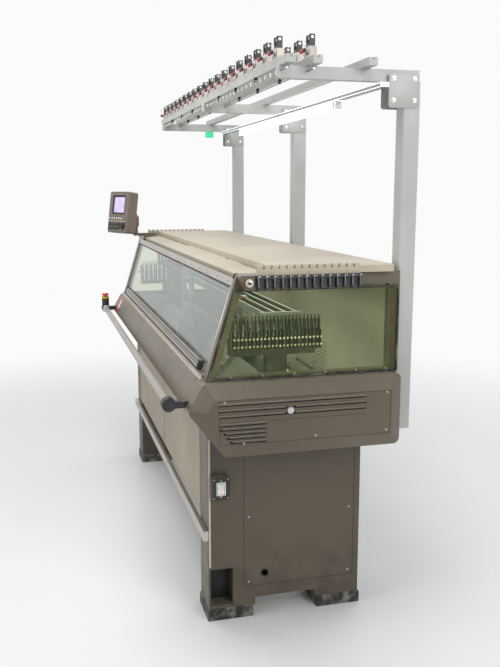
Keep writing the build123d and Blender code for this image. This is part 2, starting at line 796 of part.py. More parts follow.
def window_frame_right():
    """The end frame with its beam and bush, and the pin and boss that carry the front cover."""
    frame = section(frame_outline(0, 0, 0, 0), FRAME_INNER_X, FRAME_OUTER_X)
    frame -= section(window_outline(), FRAME_INNER_X - 1, FRAME_OUTER_X + 1)
    frame += rod_x(FRAME_INNER_X - COVER_SIDE_GAP + SLIDE_FIT, FRAME_INNER_X + 1, HINGE_Y, HINGE_Z, HINGE_BOSS_R)
    frame += rod_x(FRAME_INNER_X - HINGE_PIN_LENGTH, FRAME_INNER_X + 1, HINGE_Y, HINGE_Z, HINGE_PIN_R)
    foot_z = FRAME_TOP_Z - BEAM_HEIGHT
    beam_points = [
        (BEAM_FRONT_Y + BEAM_SLANT, foot_z),
        (BEAM_REAR_Y, foot_z),
        (BEAM_REAR_Y, FRAME_TOP_Z),
        (BEAM_FRONT_Y, FRAME_TOP_Z),
    ]
    outer = FRAME_OUTER_X + BEAM_WIDTH
    middle_z = (foot_z + FRAME_TOP_Z) / 2
    frame += section(beam_points, FRAME_OUTER_X, outer, BEAM_CORNER_R)
    frame += rod_x(outer - 1, outer + BUSH_PROUD, BUSH_Y, middle_z, BUSH_R)
    frame -= rod_x(outer - 2 * BUSH_PROUD, outer + BUSH_PROUD + 1, BUSH_Y, middle_z, BUSH_BORE_R)
    return frame


def end_window_right():
    """The tinted pane on the outside of the end frame, up to the beam."""
    edge = frame_outline(WINDOW_LAP, BEAM_HEIGHT + WINDOW_LAP, WINDOW_LAP, WINDOW_LAP)
    return section(edge, FRAME_OUTER_X, FRAME_OUTER_X + WINDOW_THICK, WINDOW_LAP)


# Hood, table and rear cover
def hood():
    """The folded sheet from the cover's hinge line up to the table."""
    path = [
        (HOOD_FRONT_Y, HOOD_FRONT_Z - HOOD_LIP),
        (HOOD_FRONT_Y, HOOD_FRONT_Z),
        (HOOD_REAR_Y, FRAME_TOP_Z),
        (HOOD_REAR_Y, FRAME_TOP_Z - HOOD_LIP),
    ]
    return section(band(path, -SHEET), -FRAME_INNER_X, FRAME_INNER_X)


def table_top():
    """A shallow tray turned down at its edges, which rests on the end frames."""
    tray = block(
        -TABLE_HALF_LENGTH, TABLE_HALF_LENGTH, TABLE_FRONT_Y, TABLE_REAR_Y, FRAME_TOP_Z, TABLE_TOP_Z,
    )
    tray = fillet(tray.edges().filter_by(Axis.Z), TABLE_CORNER_R)
    tray = chamfer(tray.faces().sort_by(Axis.Z)[-1].edges(), 2)
    tray -= block(
        -TABLE_HALF_LENGTH + 2 * SHEET, TABLE_HALF_LENGTH - 2 * SHEET, TABLE_FRONT_Y + 2 * SHEET,
        TABLE_REAR_Y - 2 * SHEET, FRAME_TOP_Z - 1, TABLE_TOP_Z - SHEET,
    )
    for side in (-1, 1):
        tray += block(
            side * FRAME_INNER_X, side * FRAME_OUTER_X, TABLE_FRONT_Y + SHEET, TABLE_REAR_Y - SHEET,
            FRAME_TOP_Z, TABLE_TOP_Z - SHEET,
        )
    strip = slotted_strip()
    return group([tray, strip, mirrored(strip)])


def slotted_strip():
    """The slotted strip on the right end beam, beside the table."""
    inner = TABLE_HALF_LENGTH + STRIP_GAP
    outer = inner + STRIP_WIDTH
    strip = block(inner, outer, STRIP_FRONT_Y, STRIP_REAR_Y, FRAME_TOP_Z, STRIP_TOP_Z)
    strip = chamfer(strip.faces().sort_by(Axis.Z)[-1].edges(), 1.5)
    count = int((STRIP_REAR_Y - STRIP_FRONT_Y) // STRIP_SLOT_PITCH)
    start = (STRIP_FRONT_Y + STRIP_REAR_Y - (count - 1) * STRIP_SLOT_PITCH) / 2
    for i in range(count):
        y = start + i * STRIP_SLOT_PITCH
        strip -= block(
            inner - 1, outer + 1, y - STRIP_SLOT_WIDTH / 2, y + STRIP_SLOT_WIDTH / 2,
            STRIP_TOP_Z - STRIP_SLOT_DEPTH, STRIP_TOP_Z + 1,
        )
    return strip


def rear_cover():
    """The back sheet between the end frames, folded in at its top and foot, with two louvre fields."""
    path = [
        (BODY_REAR_Y - APRON_RETURN, FASCIA_FOOT[1]),
        (BODY_REAR_Y, FASCIA_FOOT[1]),
        (BODY_REAR_Y, REAR_COVER_TOP_Z),
        (BODY_REAR_Y - APRON_RETURN, REAR_COVER_TOP_Z),
    ]
    sheet = section(band(path, SHEET), -CASING_INNER_X, CASING_INNER_X)
    for side in (-1, 1):
        for i in range(REAR_LOUVRES):
            z = REAR_LOUVRE_Z + i * REAR_LOUVRE_PITCH
            middle = side * LEG_INNER_X / 2
            sheet -= block(
                middle - REAR_LOUVRE_LENGTH / 2, middle + REAR_LOUVRE_LENGTH / 2,
                BODY_REAR_Y - SHEET - 1, BODY_REAR_Y + 1, z, z + REAR_LOUVRE_HEIGHT,
            )
    return sheet


# Bed frame and needle beds
def beam_outline():
    """The front beam's section: an inner wall, the slope that seats the bed, and a foot."""
    seat = bed_face_z(-BEAM_INNER_Y, -BED_THICK)
    foot_z = FASCIA_FOOT[1] + SHEET
    shelf_z = foot_z + BEAM_FOOT_HEIGHT
    shelf_y = -BEAM_INNER_Y - (seat - shelf_z)
    return [
        (-BEAM_INNER_Y, foot_z),
        (-BEAM_INNER_Y, seat),
        (shelf_y, shelf_z),
        (-BEAM_OUTER_Y, shelf_z),
        (-BEAM_OUTER_Y, foot_z),
    ]


def way_outline():
    """The ground way beside the bed, on which the carriage runs."""
    return [
        on_bed(WAY_START, -BED_THICK - 1),
        on_bed(WAY_START + WAY_WIDTH, -BED_THICK - 1),
        on_bed(WAY_START + WAY_WIDTH, WAY_TOP),
        on_bed(WAY_START, WAY_TOP),
    ]


def bed_frame():
    """Two long beams with their ways, joined by an end plate at each end, and the idler pulley's bracket."""
    half = CASING_INNER_X
    front = section(beam_outline(), -half, half) + section(way_outline(), -RAIL_END_X, RAIL_END_X)
    frame = front + opposite(front)
    foot_z = FASCIA_FOOT[1] + SHEET
    plate = block(
        half - END_PLATE, half, -BEAM_OUTER_Y, BODY_REAR_Y - SHEET, foot_z, END_PLATE_TOP_Z,
    )
    frame += plate + mirrored(plate)
    bracket_y = BELT_Y + PULLEY_WIDTH / 2 + MOTOR_GAP
    frame += block(
        PULLEY_X - 2 * SHAFT_R, half - END_PLATE + 1, bracket_y, bracket_y + 2 * SHAFT_R,
        PULLEY_Z - 2 * SHAFT_R, PULLEY_Z + 2 * SHAFT_R,
    )
    frame += rod_y(BELT_Y - PULLEY_WIDTH / 2, bracket_y + 1, PULLEY_X, PULLEY_Z, SHAFT_R)
    for side in (-1, 1):
        frame += block(
            side * LEG_INNER_X, side * LEG_OUTER_X, LEG_FRONT_Y + 3 * LEG_WALL, LEG_REAR_Y,
            FASCIA_FOOT[1], foot_z + 1,
        )
    return frame


def needle_bed_front():
    """A bed plate with a row of needle slots cut down its face."""
    tip_under = bed_face_z(-THROAT_HALF, -BED_THICK)
    corners = [
        on_bed(0, 0),
        on_bed(BED_WIDTH, 0),
        on_bed(BED_WIDTH, -BED_THICK),
        (-THROAT_HALF, tip_under),
    ]
    plate = section(corners, -BED_LENGTH / 2, BED_LENGTH / 2)
    count = int(BED_LENGTH // NEEDLE_PITCH) - 1
    slot_points = [
        on_bed(NEEDLE_SLOT_START, 1),
        on_bed(BED_WIDTH + 1, 1),
        on_bed(BED_WIDTH + 1, -NEEDLE_SLOT_DEPTH),
        on_bed(NEEDLE_SLOT_START, -NEEDLE_SLOT_DEPTH),
    ]
    start = -(count - 1) * NEEDLE_PITCH / 2
    slots = []
    for i in range(count):
        x = start + i * NEEDLE_PITCH
        slots.append(section(slot_points, x - NEEDLE_SLOT / 2, x + NEEDLE_SLOT / 2))
    return plate - slots


def needle_bed_rear():
    """The rear bed, which rides on its beam with a sliding fit so that it can rack."""
    lean = radians(BED_ANGLE)
    lift = SLIDE_FIT / cos(lean)
    return Pos(0, 0, lift) * opposite(needle_bed_front())


# Carriage and its drive
def cam_box_front():
    """The front cam box, which runs on the way and clears the bed."""
    corners = [
        on_bed(CAM_START, CAM_GAP),
        on_bed(CAM_END, CAM_GAP),
        on_bed(CAM_END, CAM_LOW_EDGE),
        on_bed(CAM_BACK, CAM_HEIGHT),
        on_bed(CAM_START, CAM_HEIGHT),
    ]
    box = section(corners, -CARRIAGE_LENGTH / 2, CARRIAGE_LENGTH / 2)
    ends = box.faces().sort_by(Axis.X)
    return chamfer(ends[0].edges().sort_by(Axis.Z)[-1], 6)


def belt_top_z():
    """The top of the belt's upper run."""
    return PULLEY_Z + PULLEY_R + BELT_THICK


def cam_boxes():
    """Both cam boxes, with the arm at the rear one that the belt pulls."""
    front = cam_box_front()
    rear = opposite(front)
    arm_z = belt_top_z() + RUN_GAP
    rear += block(
        -BELT_ARM_LENGTH / 2, BELT_ARM_LENGTH / 2, -on_bed(CAM_END, CAM_GAP)[0] - BELT_ARM_THICK,
        BELT_Y + BELT_WIDTH / 2, arm_z, arm_z + BELT_ARM_THICK,
    )
    return group([front, rear])


def carriage_bridge():
    """The bridge over the carrier rails, with a foot on each cam box and a window in each leg."""
    inner = BRIDGE_LEG_Y - BRIDGE_PLATE
    corners = [
        (-BRIDGE_LEG_Y, bed_face_z(-BRIDGE_LEG_Y, CAM_HEIGHT)),
        (-inner, bed_face_z(-inner, CAM_HEIGHT)),
        (-inner, BRIDGE_TOP_Z - BRIDGE_PLATE),
        (inner, BRIDGE_TOP_Z - BRIDGE_PLATE),
        (inner, bed_face_z(-inner, CAM_HEIGHT)),
        (BRIDGE_LEG_Y, bed_face_z(-BRIDGE_LEG_Y, CAM_HEIGHT)),
        (BRIDGE_LEG_Y, BRIDGE_TOP_Z - BRIDGE_PLATE),
        (inner, BRIDGE_TOP_Z),
        (-inner, BRIDGE_TOP_Z),
        (-BRIDGE_LEG_Y, BRIDGE_TOP_Z - BRIDGE_PLATE),
    ]
    bridge = section(corners, -BRIDGE_WIDTH / 2, BRIDGE_WIDTH / 2)
    hole_z = (BED_TOP_Z + BRIDGE_TOP_Z) / 2
    bridge -= block(
        -BRIDGE_HOLE_LENGTH / 2, BRIDGE_HOLE_LENGTH / 2, -BRIDGE_LEG_Y - 1, BRIDGE_LEG_Y + 1,
        hole_z - BRIDGE_HOLE_HEIGHT / 2, hole_z + BRIDGE_HOLE_HEIGHT / 2,
    )
    return bridge


def pulley(x, bore):
    """A flanged belt pulley on an axis along Y."""
    low = BELT_Y - PULLEY_WIDTH / 2
    high = BELT_Y + PULLEY_WIDTH / 2
    wheel = rod_y(low, high, x, PULLEY_Z, PULLEY_R - RUN_GAP)
    for y0, y1 in ((low, low + PULLEY_FLANGE), (high - PULLEY_FLANGE, high)):
        wheel += rod_y(y0, y1, x, PULLEY_Z, PULLEY_R + BELT_THICK)
    if bore:
        wheel -= rod_y(low - 1, high + 1, x, PULLEY_Z, SHAFT_R + PIN_FIT)
    else:
        wheel += rod_y(low, high + MOTOR_GAP + 2 * SHAFT_R, x, PULLEY_Z, SHAFT_R)
    return wheel


def drive_belt():
    """The toothed belt's closed loop round both pulleys."""
    low = BELT_Y - BELT_WIDTH / 2
    high = BELT_Y + BELT_WIDTH / 2
    loops = []
    for radius in (PULLEY_R + BELT_THICK, PULLEY_R):
        loop = block(-PULLEY_X, PULLEY_X, low, high, PULLEY_Z - radius, PULLEY_Z + radius)
        loop += rod_y(low, high, -PULLEY_X, PULLEY_Z, radius) + rod_y(low, high, PULLEY_X, PULLEY_Z, radius)
        loops.append(loop)
    return loops[0] - loops[1]


def drive_motor():
    """The carriage motor, bolted to the left end plate, with the bore of its shaft."""
    face_y = BELT_Y + PULLEY_WIDTH / 2 + MOTOR_GAP
    left = -CASING_INNER_X + END_PLATE
    body = block(
        left, -PULLEY_X + MOTOR_SIZE / 2, face_y, face_y + MOTOR_LENGTH,
        PULLEY_Z - MOTOR_SIZE / 2, PULLEY_Z + MOTOR_SIZE / 2,
    )
    body = chamfer(body.edges().filter_by(Axis.Y), 8)
    body -= rod_y(face_y - 1, face_y + 2 * SHAFT_R + 1, -PULLEY_X, PULLEY_Z, SHAFT_R + PIN_FIT)
    return body


# Yarn carriers
def carrier_rails():
    """Four flat rails over the throat, held at each end by a bracket on the bed frame."""
    crosshead_half = RAIL_OFFSETS[-1] + 2 * RAIL_THICK
    rails = None
    for side in (-1, 1):
        inner = side * RAIL_END_X
        outer = side * (RAIL_END_X + RAIL_BRACKET)
        plate = block(
            inner, outer, -RAIL_BRACKET_WIDTH, RAIL_BRACKET_WIDTH, BED_TOP_Z, RAIL_Z,
        )
        plate += block(inner, outer, -crosshead_half, crosshead_half, RAIL_Z, RAIL_Z + RAIL_HEIGHT)
        seat_z = bed_face_z(-RAIL_BRACKET_WIDTH, -BED_THICK)
        feet_points = [
            (-RAIL_BRACKET_WIDTH, BED_TOP_Z),
            (-RAIL_BRACKET_WIDTH, seat_z),
            (-BEAM_INNER_Y, bed_face_z(-BEAM_INNER_Y, -BED_THICK)),
            (-BEAM_INNER_Y, BED_TOP_Z),
        ]
        foot = section(feet_points, inner, outer)
        plate += foot + opposite(foot)
        rails = plate if rails is None else rails + plate
    for y in RAIL_OFFSETS:
        rails += block(
            -RAIL_END_X - 1, RAIL_END_X + 1, y - RAIL_THICK / 2, y + RAIL_THICK / 2,
            RAIL_Z, RAIL_Z + RAIL_HEIGHT,
        )
    return rails


def yarn_carrier(rail_y, x):
    """A carrier that rides on one rail and leads the yarn down to the throat."""
    half = CARRIER_LENGTH / 2
    gap = RUN_GAP
    inner_y = RAIL_THICK / 2 + gap
    outer_y = inner_y + CARRIER_WALL
    top = RAIL_Z + RAIL_HEIGHT + gap
    bottom = RAIL_Z - gap
    shoe = block(
        x - half, x + half, rail_y - outer_y, rail_y + outer_y, bottom - CARRIER_WALL, top + CARRIER_WALL,
    )
    shoe -= block(x - half - 1, x + half + 1, rail_y - inner_y, rail_y + inner_y, bottom, top)
    away = rail_y / abs(rail_y)
    tip_y = away * CARRIER_PASS_GAP / 2
    path = [
        (rail_y, bottom - CARRIER_WALL + 1),
        (rail_y, BED_TOP_Z + 2 * RAIL_HEIGHT),
        (tip_y, BED_TOP_Z + RAIL_HEIGHT),
        (tip_y, CARRIER_TIP_Z + RAIL_HEIGHT / 2),
    ]
    arm = section(
        band(path, away * CARRIER_ARM),
        x - CARRIER_ARM_WIDTH / 2, x + CARRIER_ARM_WIDTH / 2,
    )
    tip_side = tip_y + away * CARRIER_ARM / 2
    tip = Pos(x, tip_side, CARRIER_TIP_Z + RAIL_HEIGHT / 4) * Cone(
        CARRIER_TIP_R / 2, CARRIER_TIP_R, RAIL_HEIGHT / 2,
    )
    return shoe + arm + tip


# Take-down rollers
def roller_offset():
    """How far each take-down roller's axis is from the middle."""
    return ROLLER_R + ROLLER_GAP / 2


def takedown_roller(side):
    """A grooved roller with a journal at each end."""
    y = side * roller_offset()
    half = LEG_INNER_X - ROLLER_END_GAP
    roller = rod_x(-half, half, y, ROLLER_Z, ROLLER_R)
    pitch = 2 * half / (ROLLER_GROOVES + 1)
    for i in range(ROLLER_GROOVES):
        x = -half + (i + 1) * pitch
        ring = rod_x(x - ROLLER_GROOVE_WIDTH / 2, x + ROLLER_GROOVE_WIDTH / 2, y, ROLLER_Z, ROLLER_R + 1)
        ring -= rod_x(
            x - ROLLER_GROOVE_WIDTH, x + ROLLER_GROOVE_WIDTH, y, ROLLER_Z, ROLLER_R - ROLLER_GROOVE_DEPTH,
        )
        roller -= ring
    reach = LEG_INNER_X + ROLLER_JOURNAL_LENGTH
    roller += rod_x(-reach, reach, y, ROLLER_Z, ROLLER_JOURNAL_R)
    return roller


# Operating bar and stop button
def operating_bar():
    """A fluted aluminium bar with a plain journal in the bracket at each end."""
    half = KNUCKLE_X - SLIDE_FIT
    profile = Circle(BAR_R)
    for i in range(BAR_FLUTES):
        angle = radians(i * 360 / BAR_FLUTES)
        profile -= Pos(BAR_R * cos(angle), BAR_R * sin(angle)) * Circle(BAR_FLUTE_R)
    bar = extrude(Plane.YZ.offset(-half) * profile, amount=2 * half, dir=(1, 0, 0))
    bar = Pos(0, BAR_Y, BAR_Z) * bar
    reach = half + JOURNAL_LENGTH
    return bar + rod_x(-reach, reach, BAR_Y, BAR_Z, JOURNAL_R)


def bar_brackets():
    """Two round knuckles with an arm each that is bolted to the fascia's nose."""
    brackets = []
    for side in (-1, 1):
        inner = side * KNUCKLE_X
        outer = side * (KNUCKLE_X + KNUCKLE_LENGTH)
        knuckle = rod_x(inner, outer, BAR_Y, BAR_Z, KNUCKLE_R)
        run = (FASCIA_NOSE[1] - FASCIA_TOP[1]) / (FASCIA_NOSE[0] - FASCIA_TOP[0])
        low_z = FASCIA_NOSE[1] + 4
        high_z = low_z + BRACKET_ARM_HEIGHT
        points = [
            (BAR_Y, low_z),
            (FASCIA_NOSE[0] + (low_z - FASCIA_NOSE[1]) / run, low_z),
            (FASCIA_NOSE[0] + (high_z - FASCIA_NOSE[1]) / run, high_z),
            (BAR_Y, high_z),
        ]
        knuckle += section(points, inner, outer)
        knuckle -= rod_x(
            inner - side, inner + side * (JOURNAL_LENGTH + 1), BAR_Y, BAR_Z, JOURNAL_R + PIN_FIT,
        )
        brackets.append(knuckle)
    return group(brackets)


def stop_x():
    """The stop button's place, at the middle of the left bracket."""
    return -KNUCKLE_X - KNUCKLE_LENGTH / 2


def stop_housing():
    """A round pod that stands on the left bracket and guides the stop button."""
    seat = BAR_Z + KNUCKLE_R
    pod = rod_z(BAR_Z, seat + STOP_HEIGHT, stop_x(), BAR_Y, STOP_R)
    pod = chamfer(pod.edges().group_by(Axis.Z)[-1], 2)
    pod -= rod_x(stop_x() - KNUCKLE_LENGTH, stop_x() + KNUCKLE_LENGTH, BAR_Y, BAR_Z, KNUCKLE_R)
    pod -= rod_z(
        seat + STOP_HEIGHT - STOP_STEM_LENGTH - STOP_TRAVEL, seat + STOP_HEIGHT + 1, stop_x(), BAR_Y,
        STOP_STEM_R + PIN_FIT,
    )
    return pod


def stop_button():
    """The red button: a domed head on a stem."""
    seat = BAR_Z + KNUCKLE_R + STOP_HEIGHT
    base = seat + STOP_TRAVEL + RUN_GAP
    head = rod_z(base, base + STOP_BUTTON_HEIGHT, stop_x(), BAR_Y, STOP_BUTTON_R)
    head = fillet(head.edges().group_by(Axis.Z)[-1], 5)
    return head + rod_z(seat - STOP_STEM_LENGTH + RUN_GAP, base + 1, stop_x(), BAR_Y, STOP_STEM_R)


# Control panel, drawn facing -Y about its own middle and then turned and placed
def panel_place():
    """Where the panel's own frame lies: turned to its yaw, out in front of its post, and leaning back."""
    middle_z = PANEL_BOTTOM_Z + PANEL_HEIGHT / 2
    away = PANEL_REACH + PANEL_DEPTH / 2
    turned = Pos(PANEL_POST_X, PANEL_POST_Y, middle_z) * Rot(0, 0, 90 - PANEL_YAW)
    return turned * Pos(0, -away, 0) * Rot(-PANEL_LEAN, 0, 0)


def panel_post():
    """The arm on the left end frame and the post at its front end, on which the panel turns."""
    arm_top = FRAME_TOP_Z + PANEL_ARM_HEIGHT
    post = rod_z(arm_top - 1, PANEL_POST_TOP_Z, PANEL_POST_X, PANEL_POST_Y, PANEL_POST_R)
    arm = block(
        PANEL_POST_X - PANEL_POST_R, PANEL_POST_X + PANEL_POST_R, PANEL_POST_Y, PANEL_ARM_REAR_Y,
        FRAME_TOP_Z, arm_top,
    )
    arm += rod_z(FRAME_TOP_Z, arm_top, PANEL_POST_X, PANEL_POST_Y, PANEL_POST_R)
    collar = rod_z(
        PANEL_SLEEVE_Z - 2 * SHEET - SLIDE_FIT, PANEL_SLEEVE_Z - SLIDE_FIT, PANEL_POST_X, PANEL_POST_Y,
        PANEL_SLEEVE_R,
    )
    return post + arm + collar


def panel_housing():
    """A moulded housing with a rounded outline, a screen recess, bores for the keys and dial, and its sleeve."""
    shell = Box(PANEL_WIDTH, PANEL_DEPTH, PANEL_HEIGHT)
    shell = fillet(shell.edges().filter_by(Axis.Y), PANEL_CORNER_R)
    shell = chamfer(shell.faces().sort_by(Axis.Y)[-1].edges(), 10)
    shell = chamfer(shell.faces().sort_by(Axis.Y)[0].edges(), 3)
    face = -PANEL_DEPTH / 2
    shell -= block(
        -SCREEN_WIDTH / 2, SCREEN_WIDTH / 2, face - 1, face + SCREEN_RECESS + SCREEN_THICK,
        SCREEN_UP - SCREEN_HEIGHT / 2, SCREEN_UP + SCREEN_HEIGHT / 2,
    )
    for i in range(KEY_COUNT):
        x = KEY_START + i * KEY_PITCH
        shell -= rod_y(face - 1, face + KEY_DEPTH + KEY_TRAVEL, x, KEY_ROW_UP, KEY_R + PIN_FIT)
    shell -= rod_y(face - 1, face + DIAL_STEM_LENGTH, DIAL_SIDE, DIAL_UP, DIAL_STEM_R + PIN_FIT)
    ledge = block(
        -PANEL_WIDTH / 2 + PANEL_CORNER_R, PANEL_WIDTH / 2 - PANEL_CORNER_R, face - SHEET, face + 1,
        KEY_ROW_UP - KEY_R - 3 * SHEET, KEY_ROW_UP - KEY_R - 2 * SHEET,
    )
    shell += ledge
    housing = panel_place() * shell
    sleeve_top = PANEL_SLEEVE_Z + PANEL_SLEEVE_HEIGHT
    sleeve = rod_z(PANEL_SLEEVE_Z, sleeve_top, PANEL_POST_X, PANEL_POST_Y, PANEL_SLEEVE_R)
    neck = Pos(PANEL_POST_X, PANEL_POST_Y, 0) * Rot(0, 0, 90 - PANEL_YAW) * block(
        -PANEL_SLEEVE_R / 2, PANEL_SLEEVE_R / 2, -PANEL_REACH - PANEL_DEPTH / 4, 0,
        PANEL_SLEEVE_Z, sleeve_top,
    )
    housing += sleeve + neck
    housing -= rod_z(PANEL_SLEEVE_Z - 1, sleeve_top + 1, PANEL_POST_X, PANEL_POST_Y, PANEL_POST_R + PIN_FIT)
    return housing


def panel_screen():
    """The screen pane in its recess."""
    face = -PANEL_DEPTH / 2
    pane = block(
        -SCREEN_WIDTH / 2, SCREEN_WIDTH / 2, face + SCREEN_RECESS, face + SCREEN_RECESS + SCREEN_THICK,
        SCREEN_UP - SCREEN_HEIGHT / 2, SCREEN_UP + SCREEN_HEIGHT / 2,
    )
    return panel_place() * pane


def function_key(index):
    """One round key in its bore."""
    face = -PANEL_DEPTH / 2
    x = KEY_START + index * KEY_PITCH
    key = rod_y(face - KEY_PROUD, face + KEY_DEPTH, x, KEY_ROW_UP, KEY_R)
    key = chamfer(key.edges().group_by(Axis.Y)[0], 1)
    return panel_place() * key


def keypad():
    """A membrane pad with two rows of raised keys."""
    face = -PANEL_DEPTH / 2
    pad = block(
        KEYPAD_LEFT, KEYPAD_LEFT + KEYPAD_WIDTH, face - KEYPAD_THICK, face,
        KEYPAD_UP - KEYPAD_HEIGHT / 2, KEYPAD_UP + KEYPAD_HEIGHT / 2,
    )
    step_x = KEYPAD_WIDTH / KEYPAD_COLUMNS
    step_z = KEYPAD_HEIGHT / KEYPAD_ROWS
    for column in range(KEYPAD_COLUMNS):
        for row in range(KEYPAD_ROWS):
            x = KEYPAD_LEFT + (column + 0.5) * step_x
            z = KEYPAD_UP - KEYPAD_HEIGHT / 2 + (row + 0.5) * step_z
            pad += block(
                x - KEYPAD_KEY / 2, x + KEYPAD_KEY / 2, face - KEYPAD_THICK - KEYPAD_KEY_PROUD, face - 1,
                z - KEYPAD_KEY / 2, z + KEYPAD_KEY / 2,
            )
    return panel_place() * pad


def dial_knob():
    """The fluted dial at the panel's lower right corner."""
    face = -PANEL_DEPTH / 2
    knob = rod_y(face - DIAL_PROUD, face - RUN_GAP, DIAL_SIDE, DIAL_UP, DIAL_R)
    for i in range(DIAL_FLUTES):
        angle = radians(i * 360 / DIAL_FLUTES)
        knob -= rod_y(
            face - DIAL_PROUD - 1, face, DIAL_SIDE + DIAL_R * cos(angle), DIAL_UP + DIAL_R * sin(angle),
            DIAL_FLUTE_R,
        )
    knob += rod_y(face - RUN_GAP - 1, face + DIAL_STEM_LENGTH - RUN_GAP, DIAL_SIDE, DIAL_UP, DIAL_STEM_R)
    return panel_place() * knob


# Side tension banks and yarn hooks
def tension_bank(side, tubes):
    """A stem and base bar with a row of tension blades, and at the left a row of yarn tubes above them."""
    length = BANK_PITCH * (BANK_BLADES - 1) + BLADE_THICK
    stem_x = side * (CASING_INNER_X - END_PLATE / 2)
    bank = block(
        stem_x - END_PLATE / 2, stem_x + END_PLATE / 2, STEM_Y0, STEM_Y0 + STEM_WIDTH,
        END_PLATE_TOP_Z, BANK_BASE_Z + 1,
    )
    base_top = BANK_BASE_Z + BANK_BASE_HEIGHT
    bank += block(
        side * BANK_X, side * (BANK_X + BANK_DEPTH), BANK_Y0, BANK_Y0 + length, BANK_BASE_Z, base_top,
    )
    middle_x = side * (BANK_X + BANK_DEPTH / 2)
    for i in range(BANK_BLADES):
        y = BANK_Y0 + i * BANK_PITCH
        points = [
            (middle_x - BLADE_DEPTH / 2, base_top - 1),
            (middle_x + BLADE_DEPTH / 2, base_top - 1),
            (middle_x + BLADE_DEPTH / 4, base_top + BLADE_HEIGHT),
            (middle_x - BLADE_DEPTH / 4, base_top + BLADE_HEIGHT),
        ]
        bank += slab(points, y, y + BLADE_THICK)
    if tubes:
        tube_y0 = STEM_Y0 - 2 * TUBE_R
        tray_z = base_top + BLADE_HEIGHT
        last_y = tube_y0 + (TUBE_COUNT - 1) * 2.4 * TUBE_R
        bank += block(
            middle_x - TUBE_R, middle_x + TUBE_R, tube_y0 - TUBE_R, last_y + TUBE_R,
            tray_z - 1, tray_z + BANK_BASE_HEIGHT,
        )
        for i in range(TUBE_COUNT):
            y = tube_y0 + i * 2.4 * TUBE_R
            bank += rod_z(tray_z + BANK_BASE_HEIGHT - 1, TUBE_TOP_Z, middle_x, y, TUBE_R)
    return bank


def yarn_hooks():
    """A rail on each end beam with a row of hooks that hang from it."""
    rows = []
    length = HOOK_PITCH * (HOOK_COUNT - 1) + HOOK_THICK
    for side in (-1, 1):
        inner = side * (FRAME_OUTER_X + BEAM_WIDTH)
        outer = side * (FRAME_OUTER_X + BEAM_WIDTH + HOOK_RAIL_DEPTH)
        row = block(inner, outer, HOOK_Y0, HOOK_Y0 + length, FRAME_TOP_Z - HOOK_RAIL_HEIGHT, FRAME_TOP_Z)
        middle = (inner + outer) / 2
        for i in range(HOOK_COUNT):
            y = HOOK_Y0 + i * HOOK_PITCH
            hook_foot = FRAME_TOP_Z - HOOK_RAIL_HEIGHT - HOOK_DROP
            hook = block(
                middle - HOOK_DEPTH / 2, middle + HOOK_DEPTH / 2, y, y + HOOK_THICK,
                hook_foot, FRAME_TOP_Z - HOOK_RAIL_HEIGHT + 1,
            )
            row += hook
        rows.append(row)
    return group(rows)


# Yarn stand
def post_x_places():
    """The three posts' places along the machine."""
    end = HALF_LENGTH - POST_INSET - POST_SIZE / 2
    return (-end, 0.0, end)


def stand_posts():
    """Three hollow posts behind the body, and the arm on top of each."""
    pieces = []
    for x in post_x_places():
        half = POST_SIZE / 2
        post = block(x - half, x + half, BODY_REAR_Y, REAR_Y, POST_BOTTOM_Z, STAND_TOP_Z - ARM_HEIGHT)
        post = chamfer(post.edges().filter_by(Axis.Z), 3)
        post -= block(
            x - half + POST_WALL, x + half - POST_WALL, BODY_REAR_Y + POST_WALL, REAR_Y - POST_WALL,
            POST_BOTTOM_Z - 1, STAND_TOP_Z - ARM_HEIGHT - POST_WALL,
        )
        arm = block(
            x - ARM_WIDTH / 2, x + ARM_WIDTH / 2, ARM_FRONT_Y, REAR_Y, STAND_TOP_Z - ARM_HEIGHT, STAND_TOP_Z,
        )
        arm = chamfer(arm.faces().sort_by(Axis.Y)[0].edges(), 4)
        pieces += [post, arm]
    return group(pieces)


def stand_rails():
    """Slotted rails along the machine on top of the arms."""
    rails = []
    for y in STAND_RAIL_Y:
        half = STAND_RAIL_WIDTH / 2
        top = STAND_TOP_Z + STAND_RAIL_HEIGHT
        rail = block(-STAND_RAIL_HALF, STAND_RAIL_HALF, y - half, y + half, STAND_TOP_Z, top)
        slot = STAND_RAIL_SLOT / 2
        rail -= block(-STAND_RAIL_HALF, STAND_RAIL_HALF, y - slot, y + slot, top - STAND_RAIL_SLOT, top + 1)
        rails.append(rail)
    return group(rails)


def top_tension_units():
    """A row of twin tension units on each of the two front rails: a block with two discs, knobs and fins."""
    units = []
    start = -(UNIT_COUNT - 1) * UNIT_PITCH / 2
    base = STAND_TOP_Z + STAND_RAIL_HEIGHT
    half = UNIT_BLOCK / 2
    fin_half = half - UNIT_FIN_INSET
    axis_z = base + UNIT_BLOCK_HEIGHT / 2 + UNIT_DISC_THICK
    for i in range(UNIT_COUNT):
        x = start + i * UNIT_PITCH
        y = STAND_RAIL_Y[i % 2]
        unit = block(
            x - UNIT_WIDTH / 2, x + UNIT_WIDTH / 2, y - half, y + half, base, base + UNIT_BLOCK_HEIGHT,
        )
        disc_end = y - half - UNIT_DISC_THICK
        for side in (-1, 1):
            place = x + side * UNIT_DISC_SPACE / 2
            unit += rod_y(disc_end, y - half + 1, place, axis_z, UNIT_DISC_R)
            unit += rod_y(disc_end - UNIT_KNOB_LENGTH, disc_end + 1, place, axis_z, UNIT_KNOB_R)
            unit += block(
                place - UNIT_FIN_THICK / 2, place + UNIT_FIN_THICK / 2, y - fin_half, y + fin_half,
                base + UNIT_BLOCK_HEIGHT - 1, base + UNIT_BLOCK_HEIGHT + UNIT_FIN_HEIGHT,
            )
        units.append(unit)
    return group(units)


